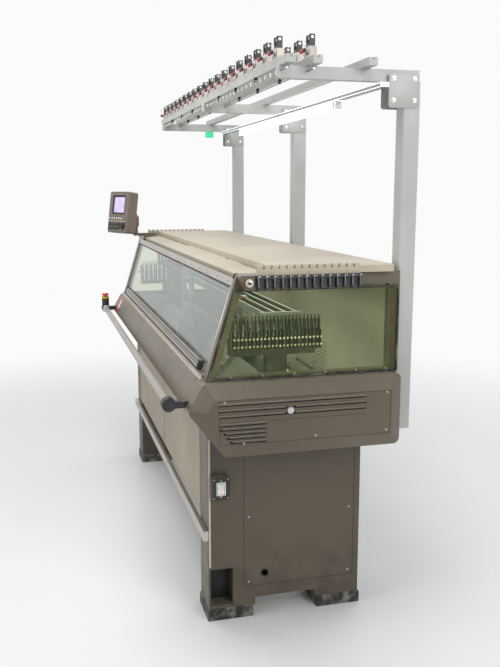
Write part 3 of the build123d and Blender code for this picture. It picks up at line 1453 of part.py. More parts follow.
def lamp_tube():
    """The work lamp: a batten under the arms with a tube and its end caps."""
    half = LAMP_LENGTH / 2
    top = STAND_TOP_Z - ARM_HEIGHT
    shift = HALF_LENGTH - POST_INSET - POST_SIZE / 2 - half
    low = top - LAMP_BATTEN_HEIGHT
    lamp = block(
        -half - shift, half + shift, LAMP_Y - LAMP_BATTEN / 2, LAMP_Y + LAMP_BATTEN / 2, low, top,
    )
    lamp += rod_x(-half, half, LAMP_Y, low - LAMP_DROP - LAMP_R, LAMP_R)
    for side in (-1, 1):
        lamp += block(
            side * (half - LAMP_CAP), side * half, LAMP_Y - LAMP_BATTEN / 2, LAMP_Y + LAMP_BATTEN / 2,
            low - 2 * (LAMP_DROP + LAMP_R), low + 1,
        )
    return lamp


def signal_lamp():
    """The round signal lamp that hangs under the rail's left end."""
    top = STAND_TOP_Z
    y = STAND_RAIL_Y[-1]
    base = rod_z(top - SIGNAL_BASE, top, SIGNAL_X - POST_SIZE / 2, y, SIGNAL_R * 0.7)
    lens = rod_z(top - SIGNAL_BASE - SIGNAL_HEIGHT, top - SIGNAL_BASE + 1, SIGNAL_X - POST_SIZE / 2, y, SIGNAL_R)
    lens = fillet(lens.edges().group_by(Axis.Z)[0], 6)
    return base + lens


# Main switch
def rocker_pin_x():
    """The rocker's axis, just inside the switch box's face."""
    return LEG_OUTER_X + SWITCH_DEPTH - ROCKER_PIN_R


def switch_box():
    """The switch box on the right leg's end, with the rocker's pocket."""
    half_y = SWITCH_WIDTH / 2
    face = LEG_OUTER_X + SWITCH_DEPTH
    box = block(
        LEG_OUTER_X, face, SWITCH_Y - half_y, SWITCH_Y + half_y, SWITCH_Z, SWITCH_Z + SWITCH_HEIGHT,
    )
    box = chamfer(box.faces().sort_by(Axis.X)[-1].edges(), 3)
    middle = SWITCH_Z + SWITCH_HEIGHT / 2
    pocket_y = ROCKER_WIDTH / 2 + ROCKER_GAP
    pocket_z = ROCKER_HEIGHT / 2 + ROCKER_GAP
    box -= block(
        face - ROCKER_DEPTH - 3 * ROCKER_GAP, face + 1, SWITCH_Y - pocket_y, SWITCH_Y + pocket_y,
        middle - pocket_z, middle + pocket_z,
    )
    box += rod_y(SWITCH_Y - pocket_y - 1, SWITCH_Y + pocket_y + 1, rocker_pin_x(), middle, ROCKER_PIN_R)
    return box


def switch_rocker():
    """The white rocker, a shallow V in section, which tips on its pin."""
    middle = SWITCH_Z + SWITCH_HEIGHT / 2
    face = LEG_OUTER_X + SWITCH_DEPTH
    half = ROCKER_HEIGHT / 2
    points = [
        (face - ROCKER_DEPTH + 3, middle - half + 6),
        (face - 1, middle - half),
        (face + ROCKER_PROUD / 3, middle - half),
        (face + ROCKER_PROUD / 2, middle),
        (face + ROCKER_PROUD, middle + half - 1),
        (face - 1, middle + half),
        (face - ROCKER_DEPTH + 3, middle + half - 6),
    ]
    start = SWITCH_Y - ROCKER_WIDTH / 2
    rocker = slab(points, start, start + ROCKER_WIDTH)
    rocker -= rod_y(start - 1, start + ROCKER_WIDTH + 1, rocker_pin_x(), middle, ROCKER_PIN_R + PIN_FIT)
    return rocker


def all_nodes():
    """Every piece of the machine by its name."""
    right_leg = leg_right()
    right_casing = end_casing_right()
    right_lock = casing_lock_right()
    right_frame = window_frame_right()
    right_window = end_window_right()
    nodes = {
        "leg_left": mirrored(right_leg),
        "leg_right": right_leg,
        "feet": feet(),
        "bed_frame": bed_frame(),
        "cross_stays": cross_stays(),
        "front_apron": front_apron(),
        "end_casing_left": mirrored(right_casing),
        "end_casing_right": right_casing,
        "casing_lock_left": mirrored(right_lock),
        "casing_lock_right": right_lock,
        "front_fascia": front_fascia(),
        "cover_sill": cover_sill(),
        "cover_glass": cover_glass(),
        "cover_top_strip": cover_top_strip(),
        "cover_handle_rail": cover_handle_rail(),
        "end_window_left": mirrored(right_window),
        "end_window_right": right_window,
        "window_frame_left": mirrored(right_frame),
        "window_frame_right": right_frame,
        "hood": hood(),
        "table_top": table_top(),
        "rear_cover": rear_cover(),
        "panel_post": panel_post(),
        "panel_housing": panel_housing(),
        "panel_screen": panel_screen(),
        "keypad": keypad(),
        "dial_knob": dial_knob(),
        "operating_bar": operating_bar(),
        "bar_brackets": bar_brackets(),
        "stop_housing": stop_housing(),
        "stop_button": stop_button(),
        "needle_bed_front": needle_bed_front(),
        "needle_bed_rear": needle_bed_rear(),
        "carrier_rails": carrier_rails(),
        "carriage_bridge": carriage_bridge(),
        "cam_boxes": cam_boxes(),
        "drive_belt": drive_belt(),
        "drive_pulley_left": pulley(-PULLEY_X, bore=False),
        "drive_pulley_right": pulley(PULLEY_X, bore=True),
        "drive_motor": drive_motor(),
        "takedown_roller_front": takedown_roller(-1),
        "takedown_roller_rear": takedown_roller(1),
        "side_tension_left": tension_bank(-1, tubes=True),
        "side_tension_right": tension_bank(1, tubes=False),
        "yarn_hooks": yarn_hooks(),
        "stand_posts": stand_posts(),
        "stand_rails": stand_rails(),
        "top_tension_units": top_tension_units(),
        "lamp_tube": lamp_tube(),
        "signal_lamp": signal_lamp(),
        "switch_box": switch_box(),
        "switch_rocker": switch_rocker(),
    }
    for index in range(KEY_COUNT):
        nodes[f"function_key_{index + 1}"] = function_key(index)
    for number, rail_y, x in CARRIERS:
        nodes[f"yarn_carrier_{number}"] = yarn_carrier(rail_y, x)
    return nodes


os.makedirs("parts", exist_ok=True)
for name, shape in all_nodes().items():
    export_step(shape, f"parts/{name}.step")
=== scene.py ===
"""Dresses a flat knitting machine: its paints and metals, needles, tension units, fasteners and fittings."""

import json
import logging
import math
from collections.abc import Callable
from dataclasses import dataclass
from enum import Enum

import bpy
import numpy as np
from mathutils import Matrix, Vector

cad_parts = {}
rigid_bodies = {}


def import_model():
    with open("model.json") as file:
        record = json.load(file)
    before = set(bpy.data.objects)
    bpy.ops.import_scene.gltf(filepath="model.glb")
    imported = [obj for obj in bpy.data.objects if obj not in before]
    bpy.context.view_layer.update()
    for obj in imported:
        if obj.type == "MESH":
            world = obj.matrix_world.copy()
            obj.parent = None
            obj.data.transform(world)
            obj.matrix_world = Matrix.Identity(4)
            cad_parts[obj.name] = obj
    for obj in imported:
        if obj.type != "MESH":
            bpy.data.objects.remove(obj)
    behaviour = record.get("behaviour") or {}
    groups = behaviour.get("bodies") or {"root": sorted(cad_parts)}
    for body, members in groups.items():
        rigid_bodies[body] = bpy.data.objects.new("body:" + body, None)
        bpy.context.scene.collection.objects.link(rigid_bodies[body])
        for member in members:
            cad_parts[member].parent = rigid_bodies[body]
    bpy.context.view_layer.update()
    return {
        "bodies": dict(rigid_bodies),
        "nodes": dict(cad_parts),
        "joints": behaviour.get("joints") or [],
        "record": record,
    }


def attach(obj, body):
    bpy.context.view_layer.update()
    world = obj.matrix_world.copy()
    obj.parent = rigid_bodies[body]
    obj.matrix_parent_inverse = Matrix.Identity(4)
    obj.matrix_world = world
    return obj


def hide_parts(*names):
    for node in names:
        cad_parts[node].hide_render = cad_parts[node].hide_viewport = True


LOG = logging.getLogger("flat_knitting_machine")
Colour = Point = tuple[float, float, float]
Numbers = float | list[float] | np.ndarray
FRAME_BODY = "frame"


def shade(red: int, green: int, blue: int) -> Colour:
    """Turns a colour-card value into a linear colour, by the standard curve of screens.

    Args:
        red: The card's red, 0 to 255.
        green: The card's green, 0 to 255.
        blue: The card's blue, 0 to 255.

    Returns:
        The three linear values.
    """
    card = np.array([red, green, blue]) / 255.0
    linear = np.where(card <= 0.04045, card / 12.92, ((card + 0.055) / 1.055) ** 2.4)
    return tuple(float(value) for value in linear)


def toned(colour: Colour, factor: float, lift: float = 0.0) -> Colour:
    """A colour made darker or lighter, no lighter than white."""
    return tuple(min(1.0, factor * value + lift) for value in colour)


class Sock:
    """A shader value that takes part in Python sums."""

    def __init__(self, graph: "Graph", socket: bpy.types.NodeSocket) -> None:
        """Keeps the socket and the graph that it belongs to."""
        self.graph = graph
        self.socket = socket

    def __add__(self, other: object) -> "Sock":
        """This value and another."""
        return self.graph.sum("ADD", self, other)

    def __sub__(self, other: object) -> "Sock":
        """This value less another."""
        return self.graph.sum("SUBTRACT", self, other)

    def __rsub__(self, other: object) -> "Sock":
        """Another less this value."""
        return self.graph.sum("SUBTRACT", other, self)

    def __mul__(self, other: object) -> "Sock":
        """This value times another."""
        return self.graph.sum("MULTIPLY", self, other)

    __radd__, __rmul__ = __add__, __mul__

    def band(self, low: float, high: float) -> "Sock":
        """A smooth step from 0 at low to 1 at high.

        Args:
            low: Where the step starts; it may be the larger of the two.
            high: Where the step ends.

        Returns:
            The step, between 0 and 1.
        """
        if low > high:
            return 1.0 - self.band(high, low)
        ends = {0: self, 1: low, 2: high}
        return self.graph.value("ShaderNodeMapRange", ends, interpolation_type="SMOOTHSTEP", clamp=True)


class Graph:
    """The node tree of one material or of the world, and the patterns that finishes share."""

    def __init__(self, owner: bpy.types.Material | bpy.types.World) -> None:
        """Starts an empty tree.

        Args:
            owner: The material or the world that the tree belongs to.
        """
        self.owner = owner
        owner.use_nodes = True
        self.tree = owner.node_tree
        self.tree.nodes.clear()

    def node(self, kind: str, inputs: dict | None = None, **settings: object) -> bpy.types.Node:
        """Makes one node.

        Args:
            kind: The node's type.
            inputs: Values or links of its sockets, by name or number.
            **settings: Its own settings, which are set first.

        Returns:
            The node.
        """
        made = self.tree.nodes.new(kind)
        for key, setting in settings.items():
            setattr(made, key, setting)
        for key, value in (inputs or {}).items():
            socket = made.inputs[key]
            if isinstance(value, Sock):
                self.tree.links.new(value.socket, socket)
            elif isinstance(value, tuple) and socket.type == "RGBA":
                socket.default_value = (*value, 1.0)
            else:
                socket.default_value = value
        return made

    def value(self, kind: str, inputs: dict | None = None, out: int | str = 0, **settings: object) -> Sock:
        """Makes one node and gives one of its outputs."""
        return Sock(self, self.node(kind, inputs, **settings).outputs[out])

    def sum(self, kind: str, first: object, second: object) -> Sock:
        """One Math node of that kind on two values."""
        return self.value("ShaderNodeMath", {0: first, 1: second}, operation=kind)

    def place(self, stretch: Point = (1.0, 1.0, 1.0)) -> Sock:
        """The place on the machine, in metres, stretched per axis."""
        spot = self.value("ShaderNodeTexCoord", out="Object")
        return self.value("ShaderNodeMapping", {"Vector": spot, "Scale": stretch})

    def height(self) -> Sock:
        """The height above the floor, in metres."""
        return self.value("ShaderNodeSeparateXYZ", {0: self.value("ShaderNodeTexCoord", out="Object")}, "Z")

    def upward(self) -> Sock:
        """How far the surface faces up, from -1 to 1."""
        return self.value("ShaderNodeSeparateXYZ", {0: self.value("ShaderNodeTexCoord", out="Normal")}, "Z")

    def noise(self, scale: float, detail: float = 2.0, stretch: Point = (1.0, 1.0, 1.0)) -> Sock:
        """Soft random cloud with cells of about 1/scale metres."""
        return self.value("ShaderNodeTexNoise", {"Vector": self.place(stretch), "Scale": scale, "Detail": detail})

    def mix(self, factor: object, first: object, second: object) -> Sock:
        """A colour between two colours."""
        return self.value("ShaderNodeMix", {0: factor, 6: first, 7: second}, 2, data_type="RGBA")

    def bump(self, height: Sock, depth: float) -> Sock:
        """The surface direction of a relief from 0 to 1 that is so many metres deep."""
        return self.value("ShaderNodeBump", {"Distance": depth, "Height": height})

    def layers(self, cover: Sock, under: Sock, over: Sock) -> Sock:
        """Two shaders, of which the upper one shows as much as the cover says."""
        return self.value("ShaderNodeMixShader", {0: cover, 1: under, 2: over})

    def end(self, shader: Sock, output: str = "ShaderNodeOutputMaterial") -> bpy.types.Material | bpy.types.World:
        """Ends the tree in that shader and gives the tree's owner."""
        self.node(output, {0: shader})
        return self.owner

    def skin(self, **sockets: object) -> Sock:
        """One Principled shader with its sockets by name, _ for a space."""
        return self.value("ShaderNodeBsdfPrincipled", {key.replace("_", " "): value for key, value in sockets.items()})


DUST: Colour = shade(186, 180, 166)
GRIME: Colour = shade(46, 40, 32)
OIL: Colour = shade(58, 46, 30)


@dataclass(frozen=True)
class Finish:
    """What every finish has: a name, a colour and a mean roughness."""

    name: str
    colour: Colour
    roughness: float = 0.5

    def build(self, graph: Graph) -> bpy.types.Material:
        """Lays the finish out in the empty tree of a new material.

        Args:
            graph: The tree.

        Returns:
            The finished material.
        """
        raise NotImplementedError


@dataclass(frozen=True)
class PaintFinish(Finish):
    """Baked paint on sheet metal or castings: orange peel, dust on top, grime low down and rubbed places."""

    peel: float = 0.00006
    dust: float = 0.35
    grime: float = 0.45
    fleck: float = 0.0

    def build(self, graph: Graph) -> bpy.types.Material:
        """Makes the material from clouds of tone, peel, dust, grime and hairline scratches."""
        rub = graph.noise(11.0, 5.0)
        hair = graph.noise(34.0, 2.0, (1.0, 26.0, 3.0)).band(0.7, 0.74)
        light = toned(self.colour, 1.12)
        tone = graph.mix(graph.noise(1.7, 4.0).band(0.25, 0.75), toned(self.colour, 0.8), light)
        if self.fleck > 0.0:
            tone = graph.mix(graph.noise(950.0, 1.0).band(0.6, 0.66) * self.fleck, tone, light)
        laid = graph.upward().band(0.55, 0.95) * graph.noise(70.0, 3.0).band(0.3, 0.7) * self.dust
        low = graph.height().band(0.42, 0.02) * rub.band(0.36, 0.66) * self.grime
        spots = graph.noise(150.0, 2.0).band(0.72, 0.78) * self.grime
        for mask, over in ((laid, DUST), (low, GRIME), (spots * rub.band(0.5, 0.7), GRIME), (hair * 0.35, light)):
            tone = graph.mix(mask, tone, over)
        rough = rub * 0.22 + (self.roughness - 0.11) + laid * 0.25 + low * 0.2
        relief = graph.noise(620.0, 1.0) * 0.8 + hair * 0.2
        return graph.end(graph.skin(Base_Color=tone, Roughness=rough, Normal=graph.bump(relief, self.peel),
                                    Coat_Weight=0.12, Coat_Roughness=0.35))


@dataclass(frozen=True)
class MetalFinish(Finish):
    """Bare metal with the marks of its making along one direction, handling stains and a little oil."""

    grain: Point = (1.0, 60.0, 60.0)
    stain: float = 0.25
    depth: float = 0.00002

    def build(self, graph: Graph) -> bpy.types.Material:
        """Makes the material from long streaks, soft stains and small pits."""
        streak = graph.noise(24.0, 4.0, self.grain)
        hand = graph.noise(7.0, 4.0)
        pit = graph.noise(240.0, 2.0).band(0.7, 0.8)
        tone = graph.mix(streak.band(0.3, 0.7), toned(self.colour, 0.72), toned(self.colour, 1.1))
        tone = graph.mix(hand.band(0.52, 0.78) * self.stain, tone, OIL)
        tone = graph.mix(pit * self.stain, tone, GRIME)
        rough = streak * 0.22 + (self.roughness - 0.1) + hand.band(0.45, 0.8) * 0.15
        relief = graph.bump(streak + pit * 0.5, self.depth)
        return graph.end(graph.skin(Base_Color=tone, Roughness=rough, Metallic=1.0, Normal=relief))


@dataclass(frozen=True)
class MouldedFinish(Finish):
    """Moulded plastic with a fine spark grain, a film of dust and lighter rubbed patches."""

    grain_depth: float = 0.00005
    dust: float = 0.3
    gloss: float = 0.0

    def build(self, graph: Graph) -> bpy.types.Material:
        """Makes the material from a spark grain, dust on upward faces and rubbed patches."""
        rub = graph.noise(19.0, 4.0)
        tone = graph.mix(rub.band(0.35, 0.7), toned(self.colour, 0.84), toned(self.colour, 1.22, 0.01))
        film = graph.noise(52.0, 3.0).band(0.42, 0.72) * self.dust
        laid = (graph.upward().band(0.35, 0.95) * 0.8 + 0.12) * film
        rough = rub * 0.18 + (self.roughness - 0.09) + laid * 0.3
        relief = graph.bump(graph.noise(1500.0, 1.0), self.grain_depth)
        return graph.end(graph.skin(Base_Color=graph.mix(laid, tone, DUST), Roughness=rough, Normal=relief,
                                    Coat_Weight=self.gloss, Coat_Roughness=0.12))


@dataclass(frozen=True)
class RubberFinish(Finish):
    """Rubber with a dry bloom, scuffs and a coarse matt skin."""

    bloom: float = 0.3

    def build(self, graph: Graph) -> bpy.types.Material:
        """Makes the material from bloom clouds, scuffs and a matt relief."""
        bloom = graph.noise(23.0, 5.0)
        scuff = graph.noise(60.0, 3.0, (1.0, 9.0, 2.0)).band(0.62, 0.7)
        tone = graph.mix(bloom.band(0.4, 0.75) * self.bloom, self.colour, DUST)
        relief = graph.bump(graph.noise(700.0, 2.0), 0.00008)
        return graph.end(graph.skin(Base_Color=graph.mix(scuff * 0.3, tone, DUST), Normal=relief,
                                    Roughness=bloom * 0.12 + (self.roughness - 0.06)))


@dataclass(frozen=True)
class PaneFinish(Finish):
    """A clear or tinted pane: it shines at a flat look, wipe marks dull it, and a film settles near its foot."""

    cover: float = 0.3
    shine: float = 0.5
    tint: Colour = (0.9, 0.93, 0.92)
    foot: float = 0.985

    def build(self, graph: Graph) -> bpy.types.Material:
        """Makes the material from wipe arcs, lint specks and a film that thickens towards the foot."""
        wipe = graph.noise(6.0, 5.0, (1.0, 3.0, 4.0)).band(0.45, 0.75)
        lint = graph.noise(210.0, 2.0).band(0.71, 0.76)
        film = graph.height().band(self.foot + 0.09, self.foot) * graph.noise(26.0, 4.0).band(0.3, 0.75)
        haze = wipe * 0.04 + film * 0.12 + lint * 0.25
        flat = graph.value("ShaderNodeLayerWeight", {"Blend": 0.35}, "Fresnel")
        skin = graph.skin(Base_Color=graph.mix(haze, self.colour, DUST), IOR=1.5, Coat_Weight=0.8,
                          Roughness=wipe * 0.08 + self.roughness + film * 0.1, Coat_Roughness=0.02)
        sheet = graph.value("ShaderNodeBsdfTransparent", {"Color": self.tint})
        graph.owner.surface_render_method = "BLENDED"
        return graph.end(graph.layers(haze * 0.4 + flat * self.shine + self.cover, sheet, skin))


@dataclass(frozen=True)
class GlowFinish(Finish):
    """A lit surface, brighter in its middle, with a soft mottle."""

    light: Colour = (1.0, 1.0, 1.0)
    strength: float = 1.0
    rise: tuple[float, float] = (1.46, 1.58)

    def build(self, graph: Graph) -> bpy.types.Material:
        """Makes the material from its own colour and a glow that changes with height."""
        mottle = graph.noise(30.0, 2.0)
        bright = graph.height().band(*self.rise) * 0.6 + mottle * 0.3
        return graph.end(graph.skin(
            Base_Color=graph.mix(mottle, self.colour, self.light), Roughness=mottle * 0.1 + self.roughness,
            Emission_Color=graph.mix(bright, toned(self.light, 0.72), self.light), Emission_Strength=self.strength,
        ))


CASING = PaintFinish("casing_paint_greige", shade(95, 86, 70), 0.4, dust=0.3)
# The legs wear the casing's greige painted darker: painted shade for the dim space under the machine.
LEG_GREIGE_PAINTED_SHADE = PaintFinish("leg_paint_greige_with_painted_shade", shade(82, 73, 59), 0.46, grime=0.5)
APRON = PaintFinish("apron_paint_beige", shade(150, 138, 118), 0.5, dust=0.25)
TABLE = PaintFinish("table_paint_cream", shade(182, 170, 150), 0.5, dust=0.45, fleck=0.25)
# Pale cream, lifted partly as painted light so that the inside behind the end panes looks lit.
REAR = PaintFinish("rear_paint_pale_and_painted_light", shade(206, 201, 184), 0.5, dust=0.2, grime=0.25)
STAND = PaintFinish("stand_paint_pale_grey", shade(180, 182, 178), 0.4)
PANEL = PaintFinish("panel_paint_taupe", shade(112, 101, 92), 0.5, peel=0.00012, dust=0.25, grime=0.2)
TRIM = PaintFinish("trim_paint_pale", shade(196, 188, 170), 0.42, dust=0.3)
IRON = MetalFinish("ground_iron", shade(132, 134, 134), 0.42, (60.0, 1.0, 1.0), 0.45, 0.00003)
# A grey lightened partly as painted light, so that the bed frame and bridge inside the panes look lit.
BODY_IRON = PaintFinish("frame_paint_grey_and_painted_light", shade(150, 152, 146), 0.5, dust=0.3, grime=0.4)
ALUMINIUM = MetalFinish("drawn_aluminium", shade(192, 187, 181), 0.34, (0.3, 60.0, 60.0), 0.1, 0.000008)
SILL = MetalFinish("sill_aluminium_warm", shade(206, 194, 184), 0.42, stain=0.35)
STEEL = MetalFinish("needle_steel", shade(198, 198, 194), 0.28, (60.0, 1.0, 1.0), 0.3)
RAIL_STEEL = MetalFinish("rail_steel", shade(176, 178, 178), 0.3, (0.25, 50.0, 50.0), 0.15, 0.000004)
CHROME = MetalFinish("bright_plating", shade(225, 226, 228), 0.12, (20.0, 20.0, 1.0), 0.12, 0.000008)
ZINC = MetalFinish("zinc_screw", shade(176, 176, 168), 0.34, (30.0, 30.0, 30.0), 0.3)
BLACK = MouldedFinish("black_moulding", shade(30, 30, 31), 0.45)
BANK_BLACK = MouldedFinish("tension_black", shade(19, 19, 20), dust=0.08)
BLACK_PAINT = PaintFinish("black_enamel", shade(34, 33, 32), 0.4, dust=0.5, grime=0.1)
# Near-black for joint lines and the screen's border; the same black stands as painted shade in slots, vents, pockets,
# notches and pull cups drawn as flat plates.
DARK_AND_PAINTED_SHADE = MouldedFinish("black_and_painted_shade", shade(14, 14, 14), 0.7, dust=0.12)
KEY = MouldedFinish("key_white", shade(226, 224, 214), 0.3, 0.00001, dust=0.1, gloss=0.3)
SMALL_KEY = MouldedFinish("key_charcoal", shade(58, 55, 52), 0.45, 0.00003, dust=0.2)
RED = MouldedFinish("button_red", shade(196, 22, 20), 0.3, 0.00001, dust=0.12, gloss=0.4)
PLATE_RED = MouldedFinish("number_plate_red", shade(190, 38, 34), 0.4, 0.00001, dust=0.15, gloss=0.2)
PLATE_WHITE = MouldedFinish("number_white", shade(238, 234, 228), 0.45, 0.00001, dust=0.1)
YELLOW = MouldedFinish("ring_yellow", shade(222, 178, 28), 0.4, 0.00001, dust=0.12)
IVORY = MouldedFinish("unit_ivory", shade(206, 196, 186), 0.42, 0.00002)
CERAMIC = MouldedFinish("eyelet_ceramic", shade(232, 228, 214), 0.18, 0.000005, dust=0.05, gloss=0.6)
RUBBER = RubberFinish("black_rubber", shade(28, 28, 28), 0.75)
FOOT = RubberFinish("foot_black", shade(24, 24, 24), 0.7, 0.5)
ROLLER = RubberFinish("roller_rubber", shade(52, 50, 48), 0.6, 0.2)
PANE = PaneFinish("cover_pane", shade(188, 194, 190), 0.05, 0.04, 0.5, (0.965, 0.978, 0.97))
TINT = PaneFinish("end_pane_green", shade(186, 202, 158), 0.06, 0.026, 0.22, (0.972, 0.998, 0.866))
SCREEN = GlowFinish("screen_lavender", shade(60, 56, 90), 0.2, shade(196, 182, 236), 0.9)
TUBE = GlowFinish("lamp_tube_glow", shade(240, 244, 250), 0.3, (0.92, 0.97, 1.0), 2.2, (1.9, 1.96))
SIGNAL = GlowFinish("signal_green", shade(20, 120, 70), 0.2, shade(60, 214, 150), 0.9, (1.92, 1.99))


@dataclass
class Shape:
    """Points and faces of a piece before they become a mesh."""

    points: np.ndarray
    faces: list[tuple[int, ...]]

    @staticmethod
    def of_rings(rings: np.ndarray, caps: bool = True, loop: bool = True, close: bool = False) -> "Shape":
        """Joins rings of points into one skin, with quads between neighbours.

        Args:
            rings: Points as (ring, place on the ring, xyz); rings run anticlockwise and rise.
            caps: Whether the first and last rings are filled.
            loop: Whether each ring closes on itself.
            close: Whether the last ring joins the first.

        Returns:
            The skin.
        """
        count, across = rings.shape[:2]
        rows = np.arange(count if close else count - 1)
        columns = np.arange(across if loop else across - 1)
        row, column = np.meshgrid(rows * across, columns, indexing="ij")
        after, above = (column + 1) % across, (row + across) % (count * across)
        quads = np.stack([row + column, row + after, above + after, above + column], -1)
        faces = [tuple(quad) for quad in quads.reshape(-1, 4).tolist()]
        if caps:
            faces.append(tuple(range(across))[::-1])
            faces.append(tuple(range((count - 1) * across, count * across)))
        return Shape(rings.reshape(-1, 3).astype(float), faces)

    def moved(self, x: float = 0.0, y: float = 0.0, z: float = 0.0) -> "Shape":
        """The same shape further along the axes."""
        return Shape(self.points + [x, y, z], self.faces)

    def turned_over(self) -> "Shape":
        """The same points with every face turned over."""
        return Shape(self.points, [face[::-1] for face in self.faces])

    def mirrored(self, side: int = -1) -> "Shape":
        """The same shape at the machine's other end, or as it is where side is 1."""
        return self if side == 1 else Shape(self.points * [-1.0, 1.0, 1.0], self.faces).turned_over()

    def opposite(self) -> "Shape":
        """The same shape on the other side of the throat."""
        return Shape(self.points * [1.0, -1.0, 1.0], self.faces).turned_over()

    def at_both_ends(self) -> "Shape":
        """The shape and its mirror image at the other end."""
        return self + self.mirrored()

    def on_both_sides(self) -> "Shape":
        """The shape and its image on the other side of the throat."""
        return self + self.opposite()

    def repeated(self, places: np.ndarray) -> "Shape":
        """Copies of the shape at every offset in a list of places.

        Args:
            places: Offsets as (copy, xyz).

        Returns:
            All copies as one shape.
        """
        points = (self.points[None, :, :] + np.asarray(places, float)[:, None, :]).reshape(-1, 3)
        starts = range(0, len(points), len(self.points))
        return Shape(points, [tuple(index + start for index in face) for start in starts for face in self.faces])

    def at_all(self, xs: Numbers = 0.0, ys: Numbers = 0.0, zs: Numbers = 0.0) -> "Shape":
        """Copies of the shape at every x with every y and every z."""
        return self.repeated(grid_places(xs, ys, zs))

    def __add__(self, other: "Shape") -> "Shape":
        """Both shapes as one."""
        faces = [tuple(index + len(self.points) for index in face) for face in other.faces]
        return Shape(np.vstack([self.points, other.points]), self.faces + faces)


def total(shapes: list[Shape]) -> Shape:
    """Joins many shapes into one."""
    return sum(shapes[1:], shapes[0])


@dataclass(frozen=True)
class Place:
    """A spot on the machine: where a flat drawing's origin, right hand and upper edge go."""

    origin: Point
    right: Point
    up: Point

    def put(self, shape: Shape) -> Shape:
        """Places a shape drawn flat, with its thickness along the outward direction, right hand cross upper edge.

        Args:
            shape: The drawn shape.

        Returns:
            The shape on the machine.
        """
        right = np.array(self.right) / np.linalg.norm(self.right)
        up = np.array(self.up) / np.linalg.norm(self.up)
        basis = np.stack([right, up, np.cross(right, up)])
        return Shape(shape.points @ basis + self.origin, shape.faces)


LEAN = math.radians(17.0)
HINGE_Y, HINGE_Z = -0.19, 1.322
THROAT_Y, THROAT_Z = -0.004, 1.0
BED_SLOPE = math.radians(45.0)
RIGHT, BACK, UP = (1.0, 0.0, 0.0), (0.0, 1.0, 0.0), (0.0, 0.0, 1.0)


class Facing(Enum):
    """Which way a flat drawing looks: where its right hand and its upper edge point."""

    LEVEL = (RIGHT, BACK)
    FRONT = (RIGHT, UP)
    END = (BACK, UP)
    REAR = ((-1.0, 0.0, 0.0), UP)
    COVER = (RIGHT, (0.0, math.sin(LEAN), math.cos(LEAN)))
    BED = (RIGHT, (0.0, math.sin(BED_SLOPE), math.cos(BED_SLOPE)))

    def at(self, x: float = 0.0, y: float = 0.0, z: float = 0.0) -> Place:
        """A place at that spot with this facing."""
        return Place((x, y, z), *self.value)


def on_cover(along: float, out: float, x: float = 0.0) -> Place:
    """A place on the front cover: along runs down from its hinge, out stands off the pane's middle."""
    y = HINGE_Y - along * math.sin(LEAN) - out * math.cos(LEAN)
    return Facing.COVER.at(x, y, HINGE_Z - along * math.cos(LEAN) + out * math.sin(LEAN))


def on_bed(along: float, out: float) -> Place:
    """A place on the front needle bed: along runs down from the throat, out stands off its face."""
    y = THROAT_Y - along * math.cos(BED_SLOPE) - out * math.sin(BED_SLOPE)
    return Facing.BED.at(0.0, y, THROAT_Z - along * math.sin(BED_SLOPE) + out * math.cos(BED_SLOPE))


def grid_places(xs: Numbers, ys: Numbers = 0.0, zs: Numbers = 0.0) -> np.ndarray:
    """Offsets for copies: every x with every y and every z."""
    return np.stack([axis.ravel() for axis in np.meshgrid(xs, ys, zs, indexing="ij")], -1)


def points_of(xs: Numbers, ys: Numbers, zs: Numbers) -> np.ndarray:
    """Points in a row, each coordinate a list or one number for all."""
    return np.stack(np.broadcast_arrays(xs, ys, zs), -1).astype(float)


def centred(count: int, pitch: float) -> np.ndarray:
    """Places in a row about 0, a pitch apart."""
    return (np.arange(count) - (count - 1) / 2) * pitch


def rounded(width: float, height: float, radius: float, steps: int = 4) -> np.ndarray:
    """A rectangle's outline with round corners: each corner is a quarter circle about its own middle.

    Args:
        width: The outline's width.
        height: The outline's height.
        radius: The corners' radius.
        steps: Parts of each quarter circle.

    Returns:
        The outline's points, anticlockwise.
    """
    radius = min(radius, width / 2 - 1e-5, height / 2 - 1e-5)
    quarter = np.arange(4)[:, None] * math.pi / 2
    turn = (quarter + np.linspace(0.0, math.pi / 2, steps + 1)[None, :]).ravel()
    middle = np.repeat(quarter + math.pi / 4, steps + 1)
    x = np.sign(np.cos(middle)) * (width / 2 - radius) + radius * np.cos(turn)
    y = np.sign(np.sin(middle)) * (height / 2 - radius) + radius * np.sin(turn)
    return np.column_stack([x, y])


def lifted(line: np.ndarray, z: float) -> np.ndarray:
    """A flat outline at a height."""
    return np.column_stack([line, np.full(len(line), z)])


def stack(width: float, height: float, levels: list[tuple[float, float, float]], steps: int) -> Shape:
    """A block of rounded outlines over each other, each drawn in by its inset on every side.

    Args:
        width: The outline's width.
        height: The outline's height.
        levels: The inset, height and corner radius of each outline, from the lowest up.
        steps: Parts of each corner.

    Returns:
        The block.
    """
    rings = [lifted(rounded(width - 2 * inset, height - 2 * inset, radius, steps), z) for inset, z, radius in levels]
    return Shape.of_rings(np.stack(rings))


def plate(width: float, height: float, depth: float, radius: float, edge: float, steps: int = 4) -> Shape:
    """A plate with round corners and an eased rim: its outline shrinks by the edge over the last of its depth."""
    levels = ((0.0, 0.0), (0.0, depth - edge), (0.3 * edge, depth - 0.3 * edge), (edge, depth))
    return stack(width, height, [(inset, z, max(radius - inset, 1e-4)) for inset, z in levels], steps)


def box_shape(x0: float, x1: float, y0: float, y1: float, z0: float, z1: float, edge: float = 0.0006) -> Shape:
    """A block with eased upper and lower rims between two corners."""
    levels = [(edge, z0, edge), (0.0, z0 + edge, edge), (0.0, z1 - edge, edge), (edge, z1, edge)]
    return stack(x1 - x0, y1 - y0, levels, 1).moved((x0 + x1) / 2, (y0 + y1) / 2)


